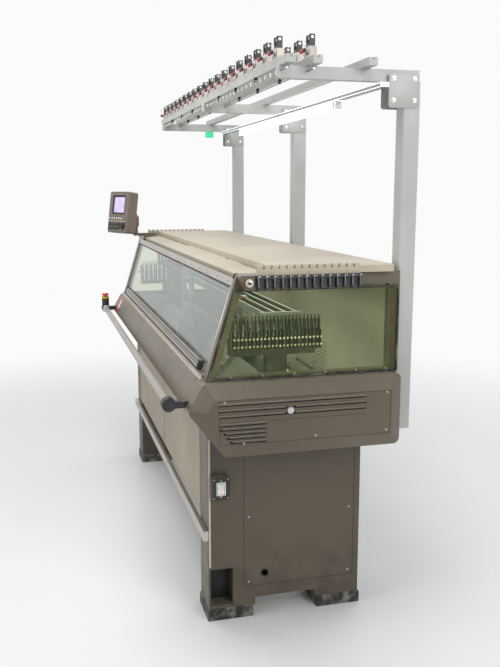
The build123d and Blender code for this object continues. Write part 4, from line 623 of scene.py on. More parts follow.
def band(outer: np.ndarray, inner: np.ndarray, low: float, high: float) -> Shape:
    """A flat ring: the wall between an outer and an inner outline, from one level to another."""
    rings = [lifted(line, z) for line, z in ((outer, low), (outer, high), (inner, high), (inner, low))]
    return Shape.of_rings(np.stack(rings), caps=False, close=True)


def frame_band(width: float, height: float, radius: float, wide: float, high: float, low: float = 0.0) -> Shape:
    """A ring round a rounded rectangle, that wide and that high."""
    inner = rounded(width - 2 * wide, height - 2 * wide, max(radius - wide, 0.0005))
    return band(rounded(width, height, radius), inner, low, high)


def turned(profile: list[tuple[float, float]], sides: int = 16) -> Shape:
    """A turned shape: a profile of radius and height, carried once round the height's axis.

    Args:
        profile: The profile's points.
        sides: Parts of the round.

    Returns:
        The shape, closed at both ends.
    """
    line = np.array(profile)
    angle = np.linspace(0.0, 2 * math.pi, sides, endpoint=False)[None, :]
    rings = [line[:, :1] * np.cos(angle), line[:, :1] * np.sin(angle), np.repeat(line[:, 1:], sides, axis=1)]
    return Shape.of_rings(np.stack(rings, -1))


def tube(path: np.ndarray, radius: float, sides: int = 8, reference: Point = UP) -> Shape:
    """A round rod along a path: at each point a circle square to the path's direction there.

    Args:
        path: The path's points as (point, xyz).
        radius: The rod's radius.
        sides: The circle's sides.
        reference: A direction that the path never runs along.

    Returns:
        The rod, closed at both ends.
    """
    along = np.gradient(path, axis=0)
    along /= np.linalg.norm(along, axis=1, keepdims=True)
    first = np.cross(reference, along)
    first /= np.linalg.norm(first, axis=1, keepdims=True)
    angle = np.linspace(0.0, 2 * math.pi, sides, endpoint=False)[None, :, None]
    circle = np.cos(angle) * first[:, None, :] + np.sin(angle) * np.cross(along, first)[:, None, :]
    return Shape.of_rings(path[:, None, :] + radius * circle)


def ridge(length: float, width: float, height: float, parts: int = 10) -> Shape:
    """A pressed hood: across it half an ellipse, along it the height rises and falls within its end radii.

    Args:
        length: The hood's length along x.
        width: The hood's width along y.
        height: The hood's height.
        parts: Parts across the ellipse.

    Returns:
        The hood, open at its back.
    """
    steps = np.array([0.0, 0.3, 0.75, 1.0])
    along = steps * width * 0.8
    stations = np.concatenate([along - length / 2, length / 2 - along[::-1]])
    rise = np.sqrt(1 - (1 - steps) ** 2)
    rise = np.concatenate([rise, rise[::-1]])
    across = np.linspace(-1.0, 1.0, parts + 1)
    x, y = np.meshgrid(stations, across * width / 2)
    z = height * rise * np.sqrt(1 - across[:, None] ** 2)
    return Shape.of_rings(np.stack([x, y, z], -1), caps=False, loop=False).turned_over()


def screw(radius: float = 0.004, height: float = 0.0022) -> Shape:
    """A pan head with a round socket: the profile dips into the head's middle."""
    profile = ((1.0, 0.0), (1.0, 0.55), (0.78, 1.0), (0.42, 1.0), (0.4, 0.45), (0.02, 0.45))
    return turned([(across * radius, up * height) for across, up in profile], 12)


def bolt(radius: float = 0.008, height: float = 0.005) -> Shape:
    """A hexagon head on a washer, its upper rim chamfered."""
    washer = turned([(1.35 * radius, 0.0), (1.35 * radius, 0.25 * height), (radius, 0.25 * height)], 20)
    return washer + turned([(radius, 0.2 * height), (radius, 0.85 * height), (0.86 * radius, height)], 6)


def spring(radius: float, wire: float, length: float, turns: int) -> Shape:
    """A coil spring: its path is a circle that rises evenly."""
    angle = np.linspace(0.0, 2 * math.pi * turns, turns * 10 + 1)
    return tube(points_of(radius * np.cos(angle), radius * np.sin(angle), length * angle / angle[-1]), wire, 5)


def letters(text: str, size: float, depth: float) -> Shape:
    """Plain figures as a flat shape about the origin.

    Args:
        text: The figures.
        size: Their height.
        depth: Their thickness.

    Returns:
        The figures' shape.
    """
    height_share, weight = 0.72, 0.018
    curve = bpy.data.curves.new("figures", "FONT")
    curve.body = text
    curve.size = size / height_share
    curve.extrude = depth / 2
    curve.offset = size * weight
    holder = bpy.data.objects.new("figures", curve)
    bpy.context.scene.collection.objects.link(holder)
    bpy.context.view_layer.update()
    mesh = bpy.data.meshes.new_from_object(holder.evaluated_get(bpy.context.evaluated_depsgraph_get()))
    flat = np.empty(len(mesh.vertices) * 3)
    mesh.vertices.foreach_get("co", flat)
    faces = [tuple(polygon.vertices) for polygon in mesh.polygons]
    bpy.data.objects.remove(holder)
    bpy.data.meshes.remove(mesh)
    points = flat.reshape(-1, 3)
    return Shape(points - (points.min(0) + points.max(0)) / 2 + [0.0, 0.0, depth / 2], faces)


class Workshop:
    """Makes meshes and materials, and puts every piece on the body that carries it."""

    def __init__(self, frame: dict) -> None:
        """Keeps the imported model's nodes and the materials made so far."""
        self.nodes: dict[str, bpy.types.Object] = frame["nodes"]
        self.made: dict[str, bpy.types.Material] = {}

    def material(self, finish: Finish) -> bpy.types.Material:
        """The material of a finish, made once."""
        if finish.name not in self.made:
            self.made[finish.name] = finish.build(Graph(bpy.data.materials.new(finish.name)))
        return self.made[finish.name]

    def dress(self, finish: Finish, *names: str) -> None:
        """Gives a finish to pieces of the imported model.

        Args:
            finish: The finish.
            *names: The pieces' names.
        """
        for name in names:
            piece = self.nodes[name]
            if not piece.material_slots:
                piece.data.materials.append(None)
            for slot in piece.material_slots:
                slot.material = self.material(finish)
            LOG.info("dressed %s in %s", name, finish.name)

    def add(self, name: str, shape: Shape, finish: Finish, body: str = FRAME_BODY, smooth: float = 32.0,
            replaces: tuple[str, ...] = ()) -> None:
        """Makes one piece.

        Args:
            name: The piece's name.
            shape: Its points and faces on the machine.
            finish: Its finish.
            body: The body that carries it.
            smooth: Edges sharper than this many degrees stay sharp.
            replaces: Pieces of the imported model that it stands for.
        """
        mesh = bpy.data.meshes.new(name)
        mesh.from_pydata(shape.points.tolist(), [], shape.faces)
        mesh.polygons.foreach_set("use_smooth", np.ones(len(mesh.polygons), bool))
        mesh.set_sharp_from_angle(angle=math.radians(smooth))
        mesh.materials.append(self.material(finish))
        mesh.update()
        piece = bpy.data.objects.new(name, mesh)
        bpy.context.scene.collection.objects.link(piece)
        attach(piece, body)
        for node in replaces:
            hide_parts(node)
        LOG.info("made %s: %d faces on %s", name, len(mesh.polygons), body)


class Side(Enum):
    """The machine's two ends."""

    LEFT = -1
    RIGHT = 1


Pairing = Callable[[Shape], Shape]
PACKED_PIECES: tuple[tuple[Finish, str], ...] = (
    (CASING, "end_casing_left end_casing_right front_fascia window_frame_left window_frame_right panel_post"),
    (REAR, "rear_cover"),
    (LEG_GREIGE_PAINTED_SHADE, "leg_left leg_right"),
    (APRON, "front_apron"),
    # The hood wears the table's cream, lighter than the casing greige it is painted in: painted light for its upward
    # face.
    (TABLE, "table_top hood"),
    (STAND, "stand_posts stand_rails"),
    (BODY_IRON, "bed_frame carriage_bridge"),
    (IRON, "cam_boxes"),
    (ALUMINIUM, "cross_stays cover_top_strip cover_handle_rail operating_bar drive_pulley_left drive_pulley_right"),
    (SILL, "cover_sill"),
    (STEEL, "needle_bed_front needle_bed_rear yarn_carrier_1 yarn_carrier_2"),
    (RAIL_STEEL, "carrier_rails"),
    (CHROME, "casing_lock_left casing_lock_right"),
    (BLACK, "yarn_hooks bar_brackets stop_housing dial_knob keypad top_tension_units"),
    (BANK_BLACK, "side_tension_left side_tension_right"),
    (BLACK_PAINT, "drive_motor switch_box"),
    (PANEL, "panel_housing"),
    (SCREEN, "panel_screen"),
    (KEY, " ".join(["switch_rocker", *(f"function_key_{number + 1}" for number in range(6))])),
    (RED, "stop_button"),
    (RUBBER, "drive_belt"),
    (ROLLER, "takedown_roller_front takedown_roller_rear"),
    (FOOT, "feet"),
    (PANE, "cover_glass"),
    (TINT, "end_window_left end_window_right"),
    (TUBE, "lamp_tube"),
    (SIGNAL, "signal_lamp"),
)


@dataclass
class Fittings:
    """A group of pieces that one workshop makes, on one body; a group drawn for the right end may go to either."""

    shop: Workshop
    side: Side | None = None
    body: str = FRAME_BODY

    def add(self, name: str, shape: Shape, finish: Finish, body: str = "", **more: object) -> None:
        """Adds a piece, at the group's own end and with its name where it has one.

        Args:
            name: The piece's name.
            shape: Its shape on the machine.
            finish: Its finish.
            body: The body that carries it, where that is not the group's.
            **more: What else the workshop takes.
        """
        if self.side is not None:
            name, shape = f"{name}_{self.side.name.lower()}", shape.mirrored(self.side.value)
        self.shop.add(name, shape, finish, body or self.body, **more)

    def add_on(self, place: Place, *pieces: tuple[str, Shape, Finish], pair: Pairing = Shape.moved) -> None:
        """Adds pieces that are drawn flat for one place.

        Args:
            place: The place.
            *pieces: Their names, flat shapes and finishes.
            pair: How a piece gets its second half; by itself it stays single, where it is.
        """
        for name, shape, finish in pieces:
            self.add(name, pair(place.put(shape)), finish)

    def build(self) -> None:
        """Builds every piece of the group."""
        raise NotImplementedError


@dataclass
class EndFittings(Fittings):
    """What is on one end of the machine: gasket, louvre hoods, screws, hooks, bush ring and slotted strip."""

    casing_face: float = 1.293
    window_face: float = 1.227
    window_foot: float = 0.978
    window_top: float = 1.285
    window_rear: float = 0.386
    window_lap: float = 0.002
    beam_face: float = 1.274
    gasket_width: float = 0.007
    hook_count: int = 14
    hook_pitch: float = 0.027
    hook_start: float = -0.1395

    def window_line(self, inset: float) -> np.ndarray:
        """The window's outline, whose front edge follows the cover.

        Args:
            inset: How far the outline is drawn in on every side.

        Returns:
            Its four corners in y and z.
        """
        lap = self.window_lap + inset
        foot, top, rear = self.window_foot + lap, self.window_top - lap, self.window_rear - lap
        _, start_y, start_z = on_cover(0.0, 0.008).origin
        front = [start_y - (start_z - z) * math.tan(LEAN) + lap / math.cos(LEAN) for z in (foot, top)]
        return np.array([(front[0], foot), (rear, foot), (rear, top), (front[1], top)])

    def casing(self) -> None:
        """Pressed hoods over the casing's slots that leave the lock free, the panel's joint line, and screws."""
        front, rear, lock, clear = -0.278, 0.242, -0.03, 0.017
        hoods = [(front, rear, 0.908)]
        for z in (0.868, 0.888):
            hoods += [(front, lock - clear, z), (lock + clear, rear, z)]
        for z in 0.78 + 0.015 * np.arange(5):
            hoods.append((front + max(0.0, (0.883 - z) * 0.77 - 0.0304), -0.113, z))
        shapes = []
        for start, end, z in hoods:
            spot = Facing.END.at(self.casing_face, (start + end) / 2, z + 0.0075)
            shapes.append(spot.put(ridge(end - start, 0.008, 0.0045)))
        self.add("louvre_hoods", total(shapes), CASING)
        heads = [Facing.END.at(self.casing_face, y, z).put(screw(0.0045, 0.0026)) for y, z in (
            (-0.255, 0.922), (0.318, 0.922), (-0.19, 0.78), (0.318, 0.788), (0.06, 0.788),
        )]
        heads += [Facing.END.at(self.window_face, y, 0.99).put(screw(0.0035)) for y in np.linspace(-0.22, 0.34, 6)]
        self.add("casing_screws", total(heads), ZINC)
        joint = frame_band(0.606, 0.152, 0.01, 0.0014, 0.0007)
        self.add("panel_joint", Facing.END.at(self.casing_face - 0.0004, 0.03, 0.852).put(joint), DARK_AND_PAINTED_SHADE)

    def hooks(self) -> None:
        """A comb of rounded black blades on a black back plate, with a bent bright wire and an eye on each."""
        face = self.beam_face
        ys = self.hook_start + np.arange(self.hook_count) * self.hook_pitch
        bar = box_shape(face, face + 0.012, ys[0] - 0.005, ys[-1] + 0.005, 1.321, 1.333, 0.0015)
        back = box_shape(face, face + 0.003, ys[0] - 0.009, ys[-1] + 0.009, 1.289, 1.333, 0.001)
        blade = Facing.FRONT.at(face + 0.007, 0.003, 1.305).put(plate(0.0125, 0.036, 0.006, 0.0055, 0.001))
        turn = np.linspace(0.3, 2 * math.pi - 0.3, 16)
        circle = points_of(face + 0.007 + 0.0035 * np.cos(turn), 0.0, 1.2895 + 0.0035 * np.sin(turn))
        crook = np.linspace(-0.4, math.pi, 10)
        bend = points_of(face + 0.0136, 0.0042 + 0.0042 * np.cos(crook), 1.3262 + 0.0042 * np.sin(crook))
        tail = points_of(face + 0.0136, [0.0, 0.0008, 0.0036], [1.306, 1.299, 1.2945])
        wire = tube(np.vstack([bend, tail]), 0.0011, 6, RIGHT)
        places = grid_places(0.0, ys)
        self.add("hook_comb", bar + back + blade.repeated(places), BLACK, replaces=("yarn_hooks",))
        self.add("hook_eyes", tube(circle, 0.0007, 5, BACK).repeated(places), CHROME)
        self.add("hook_wires", wire.repeated(places), CHROME)

    def beam(self) -> None:
        """The turned collar and ring on the beam's front end, and the slotted strip's screws and painted shade in its
        slots.
        """
        collar = turned([(0.0138, -0.0005), (0.0138, 0.0012), (0.0128, 0.0022), (0.0085, 0.0022), (0.0078, 0.0)], 28)
        ring = turned([(0.0078, 0.0), (0.0078, 0.0018), (0.005, 0.0024), (0.0046, -0.002), (0.0002, -0.002)], 24)
        spot = Facing.END.at(self.beam_face + 0.006, -0.168, 1.309)
        self.add_on(spot, ("beam_collar", collar, TRIM), ("beam_bush_ring", ring, CHROME))
        ys = 0.037 + centred(13, 0.026)
        # Thin near-black plates in the strip's slots: painted shade for the openings.
        lining = box_shape(1.2569, 1.2731, -0.0034, 0.0034, 1.3541, 1.3556, 0.0002)
        self.add("strip_slot_painted_shade", lining.at_all(0.0, ys), DARK_AND_PAINTED_SHADE)
        head = Facing.END.at(1.2735, 0.0, 1.3435).put(screw(0.0035, 0.002))
        self.add("strip_screws", head.at_all(0.0, ys[1::5]), ZINC)

    def build(self) -> None:
        """Builds the window's rubber strip and every fitting of casing, hooks and beam."""
        strip = band(self.window_line(0.001), self.window_line(self.gasket_width), 0.0, 0.0022)
        self.add("window_gasket", Facing.END.at(self.window_face).put(strip), RUBBER, smooth=20)
        self.casing()
        self.hooks()
        self.beam()


@dataclass
class TensionBank(Fittings):
    """The yarn tension bank inside one end window: discs, springs, bristle blades, feelers and rings."""

    blades: int = 12
    pitch: float = 0.027
    start: float = -0.205
    middle_x: float = 1.143

    def row(self, name: str, shape: Shape, finish: Finish, each: int = 1) -> None:
        """Adds a shape at every blade, so many times for each."""
        ys = self.start + self.pitch * ((each - 1) / 2 + np.arange(self.blades * each) / each)
        self.add(name, shape.at_all(0.0, ys), finish)

    def build(self) -> None:
        """Puts turned discs, coil springs, thin bristles, bent feeler wires and white rings along the bank."""
        x = self.middle_x
        spot = Facing.FRONT.at(x, 0.0, 1.118)
        disc = turned([(0.004, 0.0), (0.011, 0.0006), (0.0125, 0.0022), (0.011, 0.0028), (0.003, 0.0012)], 18)
        self.row("bank_discs", spot.put(disc + disc.moved(0.008, 0.024)), CHROME)
        self.row("bank_springs", spot.put(spring(0.0052, 0.0006, 0.01, 5).moved(z=0.003)), STEEL)
        self.row("bank_knobs", spot.put(turned([(0.0045, 0.012), (0.0045, 0.018), (0.0035, 0.0195)], 14)), BLACK)
        bristle = box_shape(x - 0.018, x + 0.026, -0.0012, 0.0012, 1.06, 1.128, 0.0005)
        crest = box_shape(x - 0.012, x + 0.012, -0.0018, 0.0018, 1.12, 1.166, 0.0008)
        self.row("bank_bristles", bristle + crest, BANK_BLACK, 2)
        turn = np.linspace(0.0, 1.0, 18)
        path = points_of(x - 0.012 + 0.034 * turn, 0.002, 1.15 + 0.04 * np.sin(turn * math.pi * 0.75))
        self.row("bank_feelers", tube(path, 0.0009, 6, BACK), CHROME)
        ring = turned([(0.0018, 0.0), (0.0036, 0.0), (0.004, 0.0012), (0.0034, 0.0022), (0.0019, 0.0018)], 14)
        rings = [Facing.END.at(x + 0.0262, 0.0, z).put(ring) for z in (1.078, 1.104)]
        self.row("bank_rings", total(rings), CERAMIC, 2)
        post = turned([(0.003, 0.0), (0.003, 0.012), (0.0022, 0.0135), (0.0002, 0.014)], 12)
        self.row("bank_tips", post.moved(x, 0.0, 1.1655), BLACK, 2)


@dataclass
class CoverFittings(Fittings):
    """What the front cover carries: end edge strips, seals, handle caps and strip screws."""

    body: str = "cover"
    half: float = 1.189
    rail_half: float = 1.1

    def build(self) -> None:
        """Builds the cover's fittings, each so far down from its hinge."""
        strip = box_shape(-0.0035, 0.0035, -0.139, 0.139, 0.0, 0.006, 0.001)
        strips = on_cover(0.173, 0.0025, self.half - 0.0035).put(strip).at_both_ends()
        self.add("cover_edge_strips", strips, ALUMINIUM)
        cap = on_cover(0.328, 0.0026, self.rail_half + 0.005).put(plate(0.01, 0.034, 0.0205, 0.003, 0.002))
        self.add("handle_end_caps", cap.at_both_ends(), BLACK)
        seals = [on_cover(along, 0.0025).put(box_shape(-1.18, 1.18, -wide / 2, wide / 2, 0.0, 0.0022))
                 for along, wide in ((0.038, 0.006), (0.308, 0.005))]
        self.add("cover_seals", total(seals), RUBBER)
        heads = screw(0.0038, 0.002).at_all(np.linspace(-1.12, 1.12, 15))
        self.add_on(on_cover(0.022, 0.0065), ("cover_screws", heads, ZINC))


@dataclass
class FrontFittings(Fittings):
    """The fascia's and sill's fittings: ridges, brush seal, number plate, apron screws and bar hardware."""

    number: str = "24"

    def build(self) -> None:
        """Puts ridges and a brush seal on the sill, a numbered plate on the fascia, screws, collars and a ring."""
        hood = Facing.LEVEL.at(z=0.985).put(ridge(2.38, 0.0036, 0.0012, 4))
        self.add("sill_ridges", hood.at_all(0.0, centred(6, 0.006) - 0.276), SILL)
        self.add("sill_brush_seal", box_shape(-1.188, 1.188, -0.3078, -0.3042, 0.985, 0.9955), BLACK)
        self.add_on(Place((-1.075, -0.3445, 0.9305), RIGHT, (0.0, 0.487, 0.873)),
                    ("number_plate", plate(0.086, 0.088, 0.0012, 0.006, 0.0004), PLATE_RED),
                    ("number_figures", letters(self.number, 0.052, 0.0008).moved(z=0.0012), PLATE_WHITE))
        rows = screw(0.0042, 0.0024).at_all(np.linspace(-0.83, 0.83, 7), [0.7, 0.4])
        seam = box_shape(-0.0008, 0.0008, 0.384, 0.716, 0.0, 0.0006, 0.0002)
        self.add_on(Facing.FRONT.at(0.0, -0.255), ("apron_screws", rows, ZINC), ("apron_joint", seam, DARK_AND_PAINTED_SHADE))
        collar = turned([(0.0151, 0.0), (0.019, 0.001), (0.019, 0.011), (0.0151, 0.012)], 28)
        self.add("bar_collars", Facing.END.at(1.14, -0.422, 0.9).put(collar).at_both_ends(), CHROME, "bar")
        head = Facing.LEVEL.at(1.177, -0.405, 0.909).put(bolt(0.0045, 0.004))
        self.add("bracket_bolts", head.at_both_ends(), ZINC)
        ring = band(rounded(0.0432, 0.0432, 0.0216, 7), rounded(0.0416, 0.0416, 0.0208, 7), -0.011, -0.002)
        self.add_on(Facing.LEVEL.at(-1.177, -0.422, 0.97), ("stop_ring", ring, YELLOW))


@dataclass
class ControlPanel(Fittings):
    """The control panel's fittings, drawn flat on its face: bezel, key rings, key tops, dial petals and vents, the
    vents being dark plates of painted shade.
    """

    body: str = "panel"
    post: tuple[float, float] = (-1.222, -0.222)
    bottom: float = 1.35
    height: float = 0.246
    depth: float = 0.072
    reach: float = 0.052
    yaw: float = 28.0
    lean: float = 8.0

    def place(self, side: int) -> Place:
        """The panel's face or back, turned by the yaw and leaning back.

        Args:
            side: 1 for the face, -1 for the back.

        Returns:
            The place for flat drawings.
        """
        yaw, lean = math.radians(self.yaw), math.radians(-self.lean)
        right = np.array([math.cos(yaw), math.sin(yaw), 0.0])
        ahead = np.cross(UP, right)
        up = np.array(UP) * math.cos(lean) - ahead * math.sin(lean)
        middle = np.array([*self.post, self.bottom + self.height / 2]) - ahead * (self.reach + self.depth / 2)
        return Place(tuple(middle + np.cross(right, up) * self.depth / 2 * side), tuple(right * side), tuple(up))

    def build(self) -> None:
        """Builds the face and the back."""
        ring = turned([(0.0092, 0.0), (0.0092, 0.001), (0.008, 0.0018), (0.0066, 0.0018), (0.0063, 0.0)], 24)
        keys = grid_places(centred(8, 0.01475) - 0.033, [-0.0935, -0.0705])
        mark = plate(0.0068, 0.0016, 0.0003, 0.0006, 0.0001, 2).moved(0.0, 0.0085, 0.0041)
        turn = np.linspace(0.0, 2 * math.pi, 8, endpoint=False)
        petals = points_of(0.062 + 0.0245 * np.cos(turn), -0.082 + 0.0245 * np.sin(turn), 0.0)
        self.add_on(
            self.place(1),
            ("screen_bezel", frame_band(0.142, 0.126, 0.008, 0.0065, 0.0022).moved(y=0.044), PANEL),
            ("screen_mask", frame_band(0.128, 0.112, 0.003, 0.01, -0.003, -0.0049).moved(y=0.044), DARK_AND_PAINTED_SHADE),
            ("function_key_rings", ring.at_all(centred(6, 0.024) - 0.018, -0.038), SMALL_KEY),
            ("keypad_tops", plate(0.0112, 0.0092, 0.0052, 0.003, 0.0012).repeated(keys), SMALL_KEY),
            ("keypad_marks", mark.repeated(keys), TRIM),
            ("dial_petals", plate(0.008, 0.006, 0.003, 0.0028, 0.0008, 3).repeated(petals), SMALL_KEY),
            ("panel_face_joint", frame_band(0.1885, 0.2345, 0.01, 0.0012, 0.0003, -0.0002), DARK_AND_PAINTED_SHADE),
            ("panel_ledge_trim", box_shape(-0.086, 0.086, -0.0565, -0.0525, 0.0, 0.0034, 0.001), TRIM),
        )
        # The vents are thin near-black plates: painted shade for the slots.
        vents = plate(0.06, 0.0035, 0.0006, 0.0016, 0.0002, 3).at_all(0.0, 0.0515 + centred(8, 0.009))
        gland = turned([(0.011, 0.0), (0.011, 0.006), (0.008, 0.009), (0.006, 0.014), (0.004, 0.0145)], 18)
        self.add_on(
            self.place(-1),
            ("panel_vent_painted_shade", vents, DARK_AND_PAINTED_SHADE),
            ("panel_screws", screw(0.0038).at_all([-0.078, 0.078], [-0.098, 0.098]), ZINC),
            ("panel_gland", gland.moved(-0.05, -0.06), BLACK),
        )


@dataclass
class Needlework(Fittings):
    """The needles on both beds and the beds' clamping strips."""

    pitch: float = 0.0042
    count: int = 284
    length: float = 0.134

    def build(self) -> None:
        """Lays flat needles with a butt and a tip side by side down each bed, and a strip across them."""
        needle = box_shape(-0.0007, 0.0007, -self.length, -0.006, 0.0, 0.0008, 0.0002)
        butt = box_shape(-0.0006, 0.0006, -0.092, -0.086, 0.0008, 0.0013, 0.0001)
        tip = box_shape(-0.0005, 0.0005, -0.006, 0.002, 0.0, 0.0006, 0.0001)
        row = (needle + butt + tip).at_all(centred(self.count, self.pitch))
        strip = box_shape(-0.61, 0.61, -0.147, -0.137, 0.0, 0.0012, 0.0004)
        for name, shape, finish in (("needles", row, STEEL), ("bed_clamp", strip, RAIL_STEEL)):
            front = on_bed(0.0, 0.0).put(shape)
            self.add(f"{name}_front", front, finish)
            self.add(f"{name}_rear", front.opposite().moved(z=0.00014), finish, "rear_bed")


@dataclass
class Carriage(Fittings):
    """The carriage's covers, screws, handles and cam knobs, all on the carriage's own body."""

    body: str = "carriage"

    def build(self) -> None:
        """Puts an eased lid, knobs, screws and an arched handle on each cam box, and trim on the bridge."""
        knob = turned([(0.01, 0.008), (0.012, 0.01), (0.012, 0.02), (0.01, 0.023), (0.003, 0.023)], 22)
        turn = np.linspace(0.0, math.pi, 15)
        arch = points_of(0.055 * np.cos(turn), 0.012, 0.006 + 0.03 * np.sin(turn) ** 0.6)
        self.add_on(
            on_bed(0.088, 0.045),
            ("cam_lids", plate(0.376, 0.112, 0.008, 0.012, 0.003), CASING),
            ("cam_knobs", knob.at_all([-0.155, -0.105, 0.105, 0.155], -0.03), BLACK),
            ("cam_screws", screw(0.0034, 0.002).at_all([-0.178, 0.178], [-0.046, 0.046], 0.008), ZINC),
            ("cam_handles", tube(arch, 0.005, 10, BACK), CHROME),
            pair=Shape.on_both_sides,
        )
        self.add_on(Facing.LEVEL.at(z=1.268), ("bridge_cap", plate(0.2, 0.2, 0.003, 0.01, 0.001), ALUMINIUM))
        self.add_on(
            Facing.FRONT.at(0.0, -0.138, 1.2),
            ("bridge_window_rims", frame_band(0.13, 0.13, 0.006, 0.005, 0.0015).moved(y=-0.066), TRIM),
            ("bridge_bolts", bolt(0.005, 0.0035).at_all([-0.1, 0.1], [-0.15, 0.03]), ZINC),
            pair=Shape.on_both_sides,
        )


@dataclass
class YarnCarriers(Fittings):
    """The two yarn carriers' small parts: a coloured block, its screws and a nozzle on each."""

    def build(self) -> None:
        """Puts a block, screws and a turned nozzle on each carrier."""
        nozzle = turned([(0.0016, -0.004), (0.003, 0.002), (0.0042, 0.012), (0.0042, 0.016), (0.002, 0.017)], 14)
        heads = screw(0.003, 0.0018).at_all([-0.013, 0.013], 0.0, 0.004)
        for number, facing, side, colour in ((1, Facing.FRONT, -1, RED), (2, Facing.REAR, 1, YELLOW)):
            outer = facing.at(-side * 0.64, side * 0.0293, 1.165)
            lower = Facing.LEVEL.at(-side * 0.64, side * 0.0045, 1.0065)
            for name, place, shape, finish in (
                ("block", outer, plate(0.04, 0.03, 0.004, 0.004, 0.001), colour),
                ("screws", outer, heads, ZINC),
                ("nozzle", lower, nozzle, CERAMIC),
            ):
                self.add(f"carrier_{name}_{number}", place.put(shape), finish, f"carrier_{number}")


@dataclass
class LegFittings(Fittings):
    """The leg cabinets' fittings: door seams, pale strips at the front edges that are partly a painted highlight,
    screws, cable grommets, switch trim, and painted shade in pockets and cable notches.
    """

    outer: float = 1.015

    def build(self) -> None:
        """Builds both legs' fittings and the main switch's trim."""
        outer = self.outer
        # A pale trim strip at the leg's front edge, lighter partly as a painted highlight where the lit front face
        # turns to the shaded end.
        strip = box_shape(outer - 0.0005, outer + 0.004, -0.2535, -0.2465, 0.215, 0.712, 0.001)
        self.add("leg_edge_strips_and_painted_highlight", strip.at_both_ends(), TRIM)
        door = (outer, 0.1, 0.4)
        grommet = [(0.0175, -0.001), (0.0175, 0.0018), (0.016, 0.0028), (0.012, 0.0028), (0.0115, -0.001)]
        for name, spot, shape, finish in (
            # The pocket lining and the cable notch are near-black plates: painted shade in the leg's openings.
            ("leg_pocket_painted_shade", (outer - 0.0596, -0.205, 0.131), plate(0.084, 0.144, 0.0006, 0.002, 0.0002), DARK_AND_PAINTED_SHADE),
            ("leg_door_joints", door, frame_band(0.44, 0.56, 0.006, 0.0015, 0.0004), DARK_AND_PAINTED_SHADE),
            ("leg_screws", door, screw(0.0045, 0.0026).at_all([-0.2, 0.2], [-0.26, 0.0, 0.26]), ZINC),
            ("leg_grommets", (outer, -0.037, 0.17), turned(grommet, 26), RUBBER),
            ("leg_cable_notch_painted_shade", (outer - 0.0002, 0.262, 0.69), plate(0.07, 0.03, 0.0012, 0.006, 0.0004), DARK_AND_PAINTED_SHADE),
        ):
            self.add(name, Facing.END.at(*spot).put(shape).at_both_ends(), finish)
        line = plate(0.0012, 0.008, 0.0004, 0.0004, 0.0001, 2).moved(y=0.03)
        ring = frame_band(0.008, 0.008, 0.0039, 0.0011, 0.0004).moved(y=-0.03)
        spots = grid_places([-0.026, 0.026], [-0.036, 0.036], -0.0004)
        self.add_on(
            Facing.END.at(1.049, -0.214, 0.533),
            ("switch_rim", frame_band(0.034, 0.05, 0.003, 0.0032, 0.0022), CHROME),
            ("switch_marks", line + ring, PLATE_WHITE),
            ("switch_screws", screw(0.0028, 0.0018).repeated(spots), ZINC),
        )


@dataclass
class RearFittings(Fittings):
    """The rear cover's fittings: louvre hoods, seams, screws, and pull rims with painted shade in their cups."""

    rear: float = 0.386
    panel_x: float = 0.575

    def build(self) -> None:
        """Builds the rear cover's fittings."""
        hoods = ridge(0.186, 0.01, 0.005).at_all([-0.4325, 0.4325], centred(9, 0.018) - 0.1445)
        xs = [-1.1, -0.83, -0.5, -0.06, 0.06, 0.5, 0.83, 1.1]
        panels, pulls = (grid_places([-self.panel_x, self.panel_x], y) for y in (0.0, 0.22))
        spot = Facing.REAR.at(0.0, self.rear, 1.02)
        self.add_on(
            spot,
            ("rear_louvre_hoods", hoods, REAR),
            ("rear_panel_joints", frame_band(1.08, 0.56, 0.008, 0.0016, 0.0005).repeated(panels), DARK_AND_PAINTED_SHADE),
            ("rear_screws", screw(0.0045, 0.0026).at_all(xs, [-0.265, 0.265]), ZINC),
        )
        self.add("rear_top_seal", box_shape(-1.148, 1.148, 0.3465, 0.368, 1.32, 1.333, 0.0015), RUBBER)
        self.add_on(
            spot,
            ("rear_pull_rims", frame_band(0.11, 0.04, 0.018, 0.006, 0.003).repeated(pulls), BLACK),
            # Near-black plates inside the rims: painted shade in the recessed cups.
            ("rear_pull_cup_painted_shade", plate(0.098, 0.028, 0.0006, 0.012, 0.0002).repeated(pulls), DARK_AND_PAINTED_SHADE),
        )


